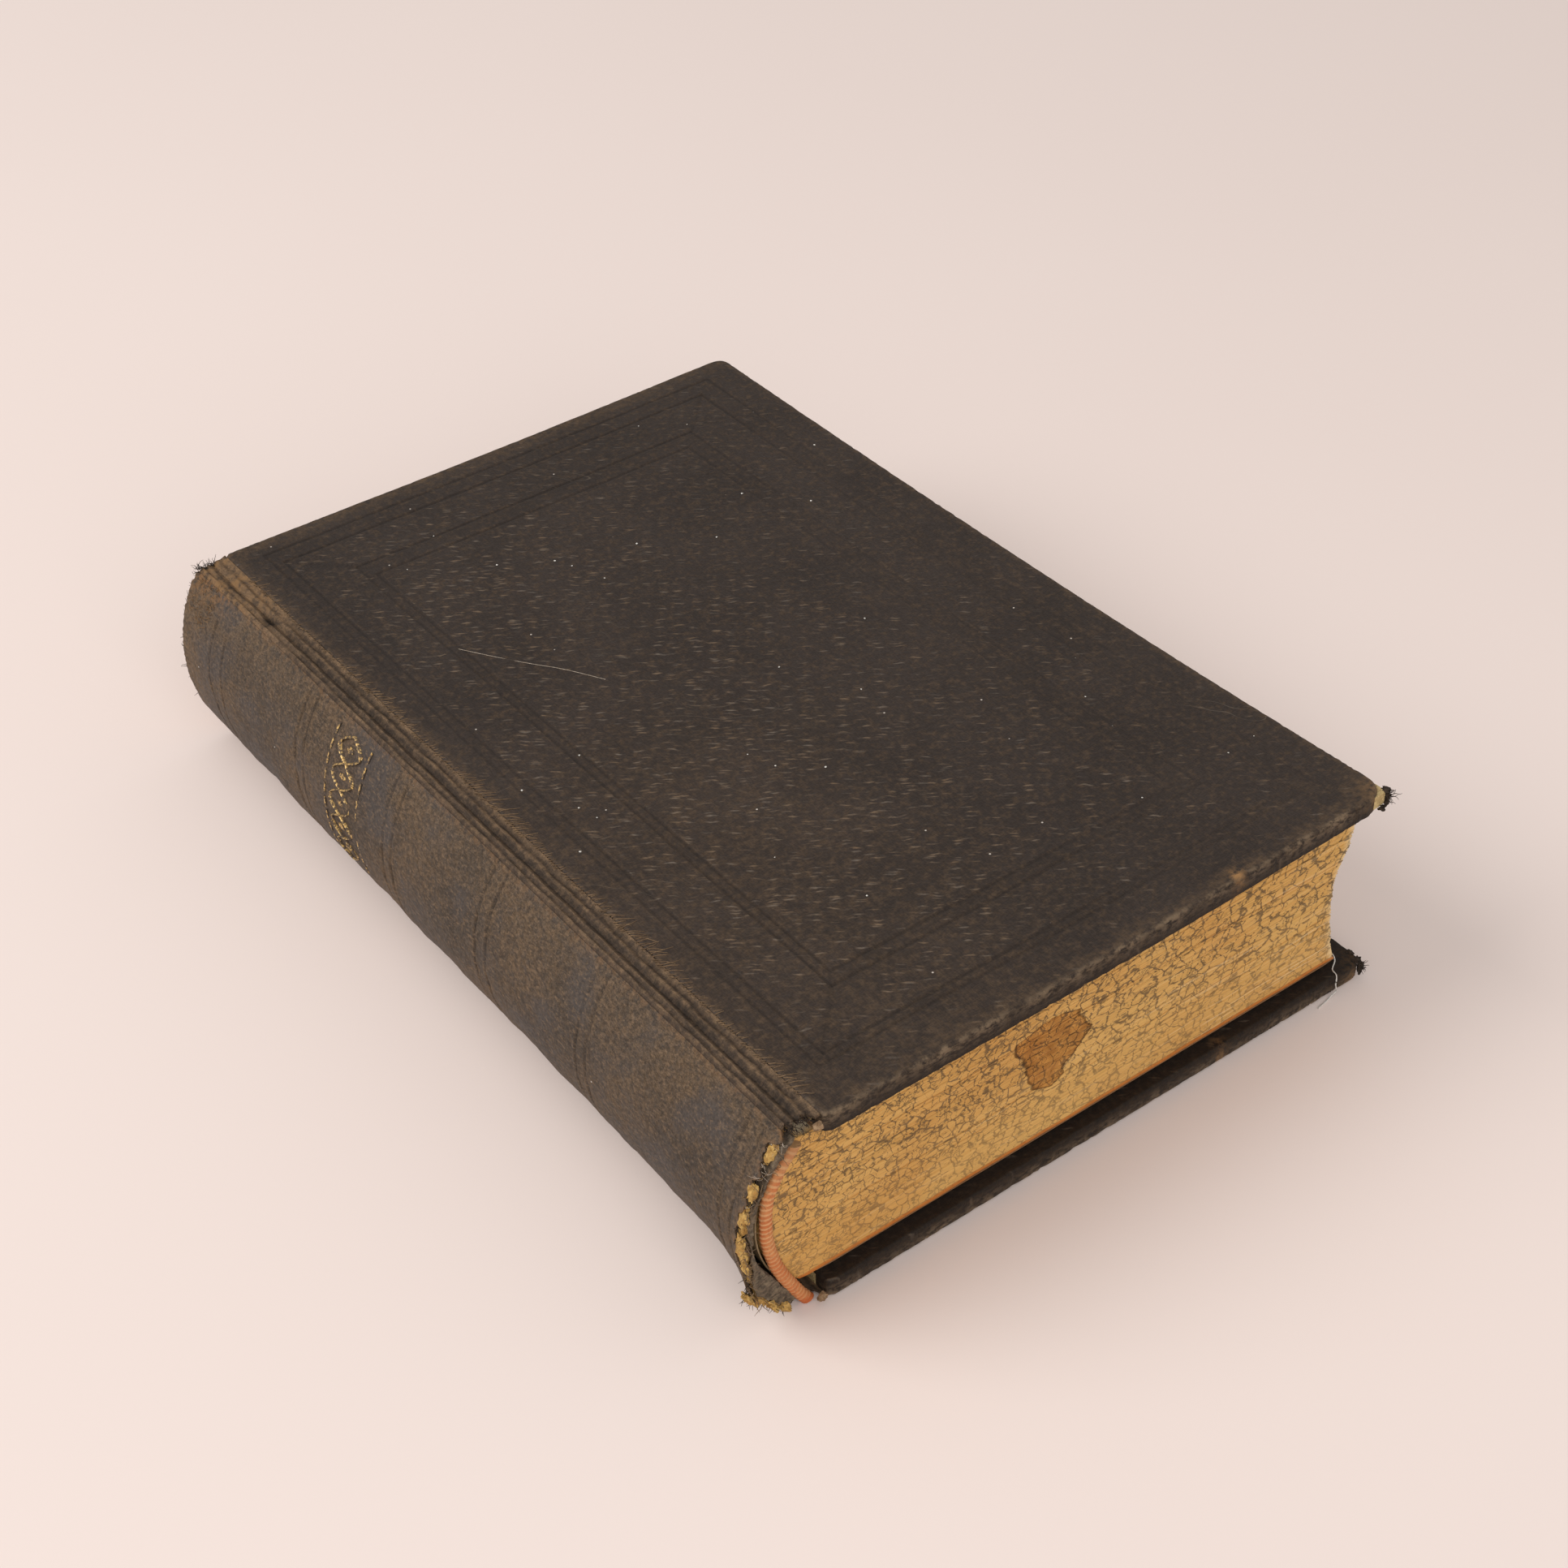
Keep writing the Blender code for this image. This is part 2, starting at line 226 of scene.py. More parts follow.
class Look:
    """A material, with short ways to add nodes; places are book millimetres."""

    def __init__(self, name, roughness=0.7, specular=0.35):
        self.material = bpy.data.materials.new(name)
        self.material.use_nodes = True
        self.tree = self.material.node_tree
        self.shader = self.tree.nodes["Principled BSDF"]
        self.shader.inputs["Roughness"].default_value = roughness
        self.shader.inputs["Specular IOR Level"].default_value = specular
        self.place = self.add("Attribute", {"attribute_name": "place"}).outputs["Vector"]

    def add(self, kind, settings=None, inputs=None):
        node = self.tree.nodes.new("ShaderNode" + kind)
        for key, value in (settings or {}).items():
            setattr(node, key, value)
        for key, value in (inputs or {}).items():
            self.feed(node.inputs[key], value)
        return node

    def feed(self, socket, value):
        if isinstance(value, bpy.types.NodeSocket):
            self.tree.links.new(value, socket)
        elif socket.type == "RGBA" and len(value) == 3:
            socket.default_value = (*value, 1.0)
        else:
            socket.default_value = value

    def value(self, name):
        return self.add("Attribute", {"attribute_name": name}).outputs["Fac"]

    def turned(self, vector, angle):
        inputs = {"Vector": vector, "Angle": angle}
        return self.add("VectorRotate", {"rotation_type": "Z_AXIS"}, inputs).outputs[0]

    def scaled(self, vector, scale):
        return self.add("VectorMath", {"operation": "MULTIPLY"}, {0: vector, 1: scale}).outputs[0]

    def moved(self, vector, noise_scale, amount):
        """vector, wandering by about amount."""
        noise = self.add("TexNoise", None, {"Vector": vector, "Scale": noise_scale, "Detail": 2.0})
        centred = self.add("VectorMath", {"operation": "SUBTRACT"}, {0: noise.outputs[1], 1: (0.5, 0.5, 0.5)})
        sized = self.add("VectorMath", {"operation": "SCALE"}, {0: centred.outputs[0], "Scale": amount * 2})
        return self.add("VectorMath", {"operation": "ADD"}, {0: vector, 1: sized.outputs[0]}).outputs[0]

    # Each of these adds one node, or one step of a colour, and gives its output.
    def noise(self, vector, scale, detail=3.0, rough=0.55):
        settings = {"Vector": vector, "Scale": scale, "Detail": detail, "Roughness": rough}
        return self.add("TexNoise", None, settings).outputs[0]

    def cells(self, vector, scale, feature="F1"):
        inputs = {"Vector": vector, "Scale": scale}
        return self.add("TexVoronoi", {"feature": feature}, inputs).outputs["Distance"]

    def math(self, operation, a, b=0.0):
        return self.add("Math", {"operation": operation}, {0: a, 1: b}).outputs[0]

    def times(self, a, b):
        return self.math("MULTIPLY", a, b)

    def ramp(self, value, low, high, to_low=0.0, to_high=1.0):
        settings = {"Value": value, "From Min": low, "From Max": high, "To Min": to_low, "To Max": to_high}
        return self.add("MapRange", {"interpolation_type": "SMOOTHSTEP"}, settings).outputs[0]

    def mix(self, factor, a, b, blend="MIX"):
        node = self.add("Mix", {"data_type": "RGBA", "blend_type": blend})
        self.feed(node.inputs[0], factor)
        self.feed(node.inputs[6], a)
        self.feed(node.inputs[7], b)
        return node.outputs[2]

    def shade(self, colour, amount):
        """colour, multiplied by a grey amount."""
        return self.add("VectorMath", {"operation": "SCALE"}, {0: colour, "Scale": amount}).outputs[0]

    def split(self, vector):
        return self.add("SeparateXYZ", None, {0: vector}).outputs

    def bump(self, height, distance, strength=1.0, normal=None):
        inputs = {"Height": height, "Distance": distance * MM, "Strength": strength}
        if normal is not None:
            inputs["Normal"] = normal
        return self.add("Bump", None, inputs).outputs[0]

    def finish(self, colour, roughness=None, normal=None):
        self.feed(self.shader.inputs["Base Color"], colour)
        if roughness is not None:
            self.feed(self.shader.inputs["Roughness"], roughness)
        if normal is not None:
            self.feed(self.shader.inputs["Normal"], normal)
        return self.material


def cloth_look(name, base, worn, weave=0.3):
    """Brown-black book cloth: mottled, scuffed to tan on its wear, finely woven, and darkened by painted
    shade where the dark value is given.
    """
    look = Look(name, 0.66, 0.14)
    broad = look.noise(look.place, 0.05, 4.0, 0.6)
    fine = look.noise(look.place, 0.9, 5.0, 0.65)
    colour = look.mix(look.ramp(broad, 0.35, 0.65), base, [c * 1.22 for c in base])
    colour = look.mix(look.ramp(fine, 0.45, 0.75, 0.0, 0.5), colour, worn)
    scuff = look.times(look.value("wear"), look.ramp(fine, 0.25, 0.62))
    colour = look.mix(scuff, colour, worn)
    thread_a = look.ramp(look.noise(look.scaled(look.place, (1.2, 6.0, 6.0)), 1.0, 1.0), 0.3, 0.7)
    thread_b = look.ramp(look.noise(look.scaled(look.place, (6.0, 1.2, 1.2)), 1.0, 1.0), 0.3, 0.7)
    threads = look.math("ADD", thread_a, thread_b)
    colour = look.shade(colour, look.ramp(threads, 0.3, 1.7, 1 - weave * 0.6, 1 + weave * 0.5))
    # Painted shade: the dark value darkens the cloth in its grooves, tears, edge faces and undersides.
    colour = look.shade(colour, look.math("SUBTRACT", 1.0, look.times(look.value("dark"), 0.6)))
    return look, colour, threads, fine


def cover_look():
    """The covers' grained cloth, with light dashes of painted highlight along the grain, dust specks and fine
    scratches.
    """
    look, colour, threads, fine = cloth_look("cover_cloth", (0.034, 0.0250, 0.0205), (0.110, 0.070, 0.041))
    along = look.turned(look.place, -GRAIN_ANGLE)
    wandering = look.moved(along, 0.25, 0.9)
    stretched = look.scaled(wandering, (0.34, 1.70, 0.2))
    pebbles = look.add("TexVoronoi", {"feature": "F1"}, {"Vector": stretched, "Scale": 1.0})
    pebble = pebbles.outputs["Distance"]
    chance, tint, _ = look.split(pebbles.outputs["Color"])
    # Painted highlight: light tan dashes on the grain's pebbles, as many as the grain value and chance allow.
    patchy = look.noise(look.place, 0.07, 4.0)
    density = look.times(look.value("grain"), look.ramp(patchy, 0.3, 0.62, 0.45, 1.0))
    passed = look.ramp(look.math("ADD", chance, density), 0.62, 1.30)
    core = look.ramp(pebble, 0.10, 0.42, 1.0, 0.0)
    dash = look.times(look.times(core, passed), look.ramp(fine, 0.3, 0.62, 0.3, 1.0))
    tan = look.mix(tint, (0.215, 0.140, 0.082), (0.19, 0.155, 0.125))
    colour = look.mix(look.times(dash, 0.72), colour, tan)
    # Along the tail arris: rubbing, and partly a painted highlight, in pale tan.
    rub_and_highlight = look.noise(look.scaled(look.place, (0.45, 0.45, 0.9)), 1.3, 4.0, 0.7)
    rub_and_highlight = look.times(look.ramp(rub_and_highlight, 0.38, 0.62), look.value("chalk"))
    colour = look.mix(rub_and_highlight, colour, (0.190, 0.132, 0.083))
    rust = look.times(look.value("rust"), look.ramp(fine, 0.35, 0.6))
    colour = look.mix(rust, colour, (0.36, 0.19, 0.075))
    speck = look.ramp(look.cells(look.place, 0.17), 0.018, 0.034, 1.0, 0.0)
    colour = look.mix(look.times(speck, look.value("outside")), colour, (0.55, 0.48, 0.42))
    scratch_place = look.moved(look.turned(look.place, 0.9), 0.05, 6.0)
    scratch_level = look.noise(look.scaled(scratch_place, (0.012, 0.16, 0.1)), 1.0, 0.0)
    off_level = look.math("ABSOLUTE", look.math("SUBTRACT", scratch_level, 0.62))
    scratch = look.ramp(off_level, 0.0, 0.0025, 1.0, 0.0)
    scratch = look.times(scratch, look.ramp(look.noise(look.place, 0.02, 2.0), 0.5, 0.66, 0.0, 0.35))
    colour = look.mix(scratch, colour, (0.20, 0.16, 0.12))
    grain_height = look.times(look.ramp(pebble, 0.1, 0.7, 1.0, 0.0), look.value("texture"))
    normal = look.bump(grain_height, 0.10, 0.9)
    normal = look.bump(threads, 0.02, 0.5, normal)
    roughness = look.ramp(fine, 0.3, 0.7, 0.52, 0.7)
    return look.finish(colour, roughness, normal)


def spine_look():
    """The spine's smoother cloth: brown worn over grey, and rusty near the head."""
    base, worn = (0.050, 0.038, 0.029), (0.132, 0.084, 0.047)
    look, colour, threads, fine = cloth_look("spine_cloth", base, worn, 0.45)
    blotch = look.noise(look.place, 0.07, 3.0)
    colour = look.mix(look.ramp(blotch, 0.48, 0.66, 0.0, 0.8), colour, (0.066, 0.055, 0.050))
    streak = look.noise(look.scaled(look.place, (0.8, 1.0, 2.4)), 1.0, 4.0, 0.75)
    colour = look.mix(look.ramp(streak, 0.48, 0.68, 0.0, 0.7), colour, (0.175, 0.115, 0.070))
    pits = look.noise(look.place, 1.9, 3.0, 0.7)
    colour = look.shade(colour, look.ramp(pits, 0.3, 0.7, 0.74, 1.26))
    rust = look.times(look.value("rust"), look.ramp(fine, 0.42, 0.6))
    colour = look.mix(rust, colour, (0.22, 0.115, 0.052))
    speck = look.ramp(look.cells(look.place, 0.2), 0.02, 0.04, 1.0, 0.0)
    colour = look.mix(speck, colour, (0.55, 0.5, 0.45))
    normal = look.bump(threads, 0.035, 0.8)
    normal = look.bump(fine, 0.06, 0.5, normal)
    return look.finish(colour, look.ramp(fine, 0.3, 0.7, 0.5, 0.68), normal)


def joint_look():
    """The joints' cloth: ribbed across, worn tan on its ridges."""
    look, colour, threads, fine = cloth_look("joint_cloth", (0.046, 0.032, 0.023), (0.190, 0.120, 0.068), 0.4)
    across = look.noise(look.scaled(look.place, (0.5, 1.6, 0.5)), 1.0, 4.0, 0.7)
    colour = look.mix(look.ramp(across, 0.5, 0.72, 0.0, 0.5), colour, (0.120, 0.074, 0.044))
    rust = look.times(look.value("rust"), look.ramp(fine, 0.35, 0.6))
    colour = look.mix(rust, colour, (0.235, 0.130, 0.055))
    normal = look.bump(across, 0.12, 0.8)
    normal = look.bump(threads, 0.03, 0.6, normal)
    return look.finish(colour, 0.68, normal)


def edge_look():
    """Pages: marbled and stained on the block's edges, and plain paper on the leaves' faces."""
    look = Look("page_edges", 0.75, 0.25)
    wandering = look.moved(look.place, 0.5, 0.55)
    x, _, z = look.split(look.place)
    broken = look.noise(look.place, 0.45, 4.0, 0.6)
    breadth = look.ramp(look.noise(look.place, 0.9, 2.0), 0.3, 0.7, 0.030, 0.115)
    # The cells widen from the back to the fore edge: their frequency falls along x, and x is its sum so far.
    flow_x, flow_y, flow_z = look.split(wandering)
    frequency = look.math("SUBTRACT", 0.62, look.times(flow_x, 0.0026))
    summed = look.times(flow_x, look.math("SUBTRACT", 0.62, look.times(flow_x, 0.0013)))
    flow = look.add("CombineXYZ", None, {
        0: summed,
        1: look.times(flow_y, 0.42),
        2: look.times(flow_z, look.times(frequency, 1.25)),
    }).outputs[0]
    vein = look.cells(flow, 1.0, "DISTANCE_TO_EDGE")
    small = look.cells(look.scaled(flow, (2.0, 2.0, 1.8)), 1.0, "DISTANCE_TO_EDGE")
    lines = look.ramp(look.math("DIVIDE", vein, breadth), 0.35, 1.0, 1.0, 0.0)
    lines = look.times(lines, look.ramp(broken, 0.32, 0.46, 0.15, 1.0))
    finer = look.ramp(look.math("DIVIDE", small, breadth), 0.5, 1.5, 1.0, 0.0)
    finer = look.times(finer, look.ramp(broken, 0.47, 0.60))
    marks = look.math("MAXIMUM", lines, look.times(finer, 0.75))
    marks = look.times(marks, look.ramp(z, 6.0, 22.0, 0.62, 1.0))
    layers = look.noise(look.scaled(look.place, (0.035, 0.035, 3.6)), 1.0, 3.0, 0.75)
    tone = look.noise(look.place, 0.035, 3.0)
    paper = look.mix(look.ramp(tone, 0.35, 0.65), (0.595, 0.318, 0.090), (0.66, 0.388, 0.122))
    toward_fore = look.ramp(x, 20.0, 106.0)
    pale = look.times(look.ramp(layers, 0.54, 0.70), look.ramp(toward_fore, 0.0, 1.0, 0.30, 0.85))
    pale = look.times(pale, look.ramp(z, 10.0, 28.0, 1.0, 0.45))
    paper = look.shade(paper, look.ramp(layers, 0.30, 0.52, 0.86, 1.0))
    fore = look.ramp(x, 99.0, 104.0)
    paper = look.mix(look.times(fore, look.value("fore")), paper, (0.76, 0.56, 0.30))
    marked = look.mix(look.times(marks, 0.80), paper, (0.105, 0.064, 0.036))
    marked = look.mix(look.times(pale, 0.8), marked, (0.78, 0.58, 0.33))
    stain = look.value("stain")
    soaked = look.mix(look.ramp(broken, 0.35, 0.65), (0.58, 0.43, 0.30), (0.86, 0.70, 0.52))
    stained = look.mix(look.ramp(stain, 0.3, 0.5), marked, soaked, "MULTIPLY")
    rim = look.times(look.ramp(stain, 0.25, 0.45), look.ramp(stain, 0.5, 0.92, 1.0, 0.0))
    stained = look.shade(stained, look.ramp(rim, 0.0, 1.0, 1.0, 0.48))
    bottom = look.ramp(z, BLOCK_LOW + 0.25, BLOCK_LOW + 0.9, 1.0, 0.0)
    stained = look.mix(look.times(bottom, 0.9), stained, (0.46, 0.135, 0.020))
    fibres = look.noise(look.place, 1.4, 5.0, 0.7)
    leaf = look.mix(look.ramp(tone, 0.3, 0.7), (0.72, 0.60, 0.42), (0.66, 0.52, 0.34))
    leaf = look.shade(leaf, look.ramp(fibres, 0.3, 0.7, 0.94, 1.04))
    colour = look.mix(look.value("leaf"), stained, leaf)
    normal = look.bump(layers, 0.10, 0.8)
    return look.finish(colour, 0.78, normal)


def paper_look(name, light, dark, scale=0.06):
    """Old laid paper with foxing."""
    look = Look(name, 0.8, 0.2)
    tone = look.noise(look.place, scale, 3.0)
    fibres = look.noise(look.place, 1.6, 5.0, 0.7)
    foxing = look.ramp(look.cells(look.moved(look.place, 0.2, 1.0), 0.07), 0.04, 0.16, 0.5, 0.0)
    colour = look.mix(look.ramp(tone, 0.35, 0.65), light, dark)
    colour = look.mix(foxing, colour, [c * 0.55 for c in dark])
    colour = look.mix(look.times(look.value("rim"), 0.85), colour, (0.22, 0.085, 0.025))
    colour = look.shade(colour, look.ramp(fibres, 0.3, 0.7, 0.92, 1.05))
    return look.finish(colour, 0.82, look.bump(fibres, 0.05, 0.6))


def fibre_look(name, light, dark, scale):
    """Torn pulp, thread or frayed cloth."""
    look = Look(name, FIBRE_ROUGHNESS, 0.2)
    fine = look.noise(look.place, scale, 5.0, 0.7)
    strands = look.noise(look.scaled(look.place, (1.0, 4.0, 2.5)), scale, 3.0, 0.6)
    colour = look.mix(look.ramp(fine, 0.35, 0.65), dark, light)
    colour = look.shade(colour, look.ramp(strands, 0.3, 0.7, 0.75, 1.15))
    return look.finish(colour, FIBRE_ROUGHNESS, look.bump(look.math("ADD", fine, strands), 0.2, 0.8))


def band_look():
    """Headband: orange-pink cloth over a core, with cream ribs."""
    look = Look("headband", 0.7, 0.25)
    rib = look.value("rib")
    fine = look.noise(look.place, 2.2, 4.0, 0.6)
    tone = look.noise(look.place, 0.25, 2.0)
    height = look.split(look.place)[2]
    contrast = look.times(look.ramp(rib, 0.35, 0.95), look.ramp(height, 8.0, 22.0, 0.40, 0.75))
    base = look.mix(look.ramp(tone, 0.35, 0.65), (0.52, 0.160, 0.050), (0.56, 0.225, 0.080))
    colour = look.mix(contrast, base, (0.66, 0.37, 0.17))
    colour = look.mix(look.ramp(fine, 0.48, 0.70, 0.0, 0.55), colour, (0.30, 0.12, 0.05))
    colour = look.mix(look.ramp(height, 1.9, 1.0, 0.0, 0.8), colour, (0.50, 0.110, 0.028))
    colour = look.mix(look.value("faded"), colour, (0.36, 0.21, 0.10))
    return look.finish(colour, 0.72, look.bump(fine, 0.16, 0.9))


def gilt_look():
    """Worn gold leaf over the cloth."""
    look = Look("gilt", 0.38, 0.5)
    worn = look.noise(look.place, 1.7, 5.0, 0.7)
    fine = look.noise(look.place, 5.0, 2.0)
    kept = look.ramp(worn, 0.47, 0.56)
    colour = look.mix(look.ramp(fine, 0.35, 0.65), (0.50, 0.28, 0.07), (0.72, 0.50, 0.20))
    colour = look.mix(kept, (0.10, 0.068, 0.045), colour)
    look.shader.inputs["Metallic"].default_value = 0.35
    return look.finish(colour, look.ramp(kept, 0.0, 1.0, 0.7, 0.36), look.bump(fine, 0.03, 0.6))


# The light and dark colours of torn, frayed and woven stuff, and how fine it is.
FIBRES = {
    "board": ((0.60, 0.45, 0.22), (0.44, 0.31, 0.14), 1.2),
    "pulp": ((0.62, 0.40, 0.13), (0.38, 0.20, 0.055), 0.8),
    "dark_fray": ((0.060, 0.041, 0.029), (0.022, 0.016, 0.012), 1.0),
    "brown_fray": ((0.215, 0.138, 0.078), (0.125, 0.078, 0.045), 0.6),
    "tan_fray": ((0.42, 0.28, 0.16), (0.22, 0.13, 0.07), 1.0),
    "head_fray": ((0.30, 0.175, 0.082), (0.15, 0.085, 0.042), 0.8),
    "pale_fray": ((0.62, 0.52, 0.42), (0.42, 0.33, 0.25), 1.0),
    "grey_cloth": ((0.190, 0.140, 0.092), (0.070, 0.052, 0.037), 1.1),
    "mull": ((0.48, 0.38, 0.25), (0.30, 0.22, 0.13), 1.6),
    "tape": ((0.58, 0.50, 0.38), (0.42, 0.34, 0.24), 1.4),
    "thread": ((0.86, 0.83, 0.78), (0.70, 0.65, 0.58), 2.0),
}
LOOKS = {
    "cover": cover_look(),
    "spine": spine_look(),
    "joint": joint_look(),
    "edges": edge_look(),
    "endpaper": paper_look("endpaper", (0.66, 0.54, 0.36), (0.55, 0.42, 0.25)),
    "lining": paper_look("lining_paper", (0.38, 0.27, 0.15), (0.28, 0.18, 0.09), 0.15),
    "band": band_look(),
    "gilt": gilt_look(),
}
LOOKS.update({name: fibre_look(name, *settings) for name, settings in FIBRES.items()})


# ---------------------------------------------------------------- covers

ARRIS = 0.75
CORNERS = {"fore_tail": 4.6, "fore_head": 2.4, "spine_tail": 1.6, "spine_head": 1.4}
BACK_CORNERS = {"fore_tail": 2.3, "fore_head": 2.3, "spine_tail": 1.5, "spine_head": 1.4}
# Each frame is a pair of blind lines: their places on the left, right, tail and head sides.
OUTER_FRAME = ((8.0, 9.8), (101.5, 97.4), (8.0, 9.6), (164.9, 161.0))
INNER_FRAME = ((18.7, 20.3), (88.4, 85.0), (19.2, 21.6), (151.6, 147.6))
FRAMES = (OUTER_FRAME, INNER_FRAME)
LINE_WIDTH = 0.30
LINE_DEPTH = 0.10
RIM_AT = 0.55
LINE_SPREAD = (-0.7, -0.45, -0.3, -0.15, 0.0, 0.15, 0.3, 0.45, 0.7)
EDGE_SPREAD = np.array((0.04, 0.1, 0.2, 0.32, 0.48, 0.66, 0.9, 1.2))
WARP_FROM_X = 30.0
BOARD_CORNER = 2.4
SHEET_CORNER = 0.6
FAR = 99.0


def warp(x, y):
    """How far the front cover has lifted: its fore corners most, its fore edge's middle least."""
    out = smooth(WARP_FROM_X, FORE_X, x) * np.clip((x - WARP_FROM_X) / (FORE_X - WARP_FROM_X), 0, 1)
    up = (y - HEIGHT / 2) / (HEIGHT / 2)
    return out * (up * up * (1.35 - 0.35 * up) - 0.12)


def rounded_plan(x, y, corners):
    """Plan positions inside a cover's rounded outline, and their depth from its edge."""
    depth = np.minimum(np.minimum(x - BOARD_SPINE_X, FORE_X - x), np.minimum(y, HEIGHT - y))
    px, py = x.copy(), y.copy()
    for name, radius in corners.items():
        sx = 1 if name.startswith("fore") else -1
        sy = 1 if name.endswith("head") else -1
        cx = (FORE_X if sx > 0 else BOARD_SPINE_X) - sx * radius
        cy = (HEIGHT if sy > 0 else 0.0) - sy * radius
        a = (x - cx) * sx / radius
        b = (y - cy) * sy / radius
        inside = (a > 0) & (b > 0)
        u = a * np.sqrt(np.clip(1 - b * b / 2, 0, 1))
        v = b * np.sqrt(np.clip(1 - a * a / 2, 0, 1))
        px = np.where(inside, cx + sx * u * radius, px)
        py = np.where(inside, cy + sy * v * radius, py)
        depth = np.where(inside, radius * (1 - np.hypot(u, v)), depth)
    return px, py, np.clip(depth, 0, None)


def line_distance(x, y):
    """Distance to the nearest blind line of the frames."""
    nearest = np.full(x.shape, FAR)
    for left, right, tail, head in FRAMES:
        for k in (0, 1):
            in_y = (y > tail[k] - 0.2) & (y < head[k] + 0.2)
            in_x = (x > left[k] - 0.2) & (x < right[k] + 0.2)
            sides = ((left, x, in_y), (right, x, in_y), (tail, y, in_x), (head, y, in_x))
            for places, values, there in sides:
                nearest = np.where(there, np.minimum(nearest, np.abs(values - places[k])), nearest)
    return nearest


def mitre_distance(x, y):
    """Distance to the diagonal lines that join the two frames' corners."""
    nearest = np.full(x.shape, FAR)
    for side in (0, 1):
        for end in (2, 3):
            a = np.array([OUTER_FRAME[side][1], OUTER_FRAME[end][1]])
            b = np.array([INNER_FRAME[side][0], INNER_FRAME[end][0]])
            way = b - a
            t = np.clip(((x - a[0]) * way[0] + (y - a[1]) * way[1]) / (way @ way), 0, 1)
            nearest = np.minimum(nearest, np.hypot(x - a[0] - t * way[0], y - a[1] - t * way[1]))
    return nearest


def within(x, y, lines, k):
    """Whether places are inside line k of a frame's pair."""
    left, right, tail, head = lines
    return (x > left[k]) & (x < right[k]) & (y > tail[k]) & (y < head[k])


def cover_wear(px, py, plan, depth, rim):
    """Where the cover's cloth is worn: along its edges and over its worn corner; along the lines' rims it is
    lightened as a painted highlight.
    """
    streaked = waves(grid(px * 0.25, py * 1.6), 1.6, 12)
    tail_line = smooth(3.4, 0.9, py + 0.6 * waves(plan, 9.0, 11)) * smooth(0.3, 0.8, depth)
    zones = (
        smooth(1.5, 0.0, depth) * 0.16,
        tail_line * (0.50 + 0.25 * streaked),
        smooth(4.8, 0.5, HEIGHT - py) * (0.6 + 0.2 * streaked),
        smooth(2.0, 0.3, FORE_X - px) * 0.5,
        smooth(6.0, 2.5, px) * 0.45,
        smooth(70, 20, px) * smooth(110, 50, py) * 0.22,
        smooth(10.0, 2.0, np.hypot(px - FORE_X, py)) * 0.7,
    )
    # Painted highlight along the lines' rims.
    return np.clip(np.maximum.reduce(zones) + 0.16 * rim * (0.5 + 0.5 * waves(plan, 12.0, 13)), 0, 1)


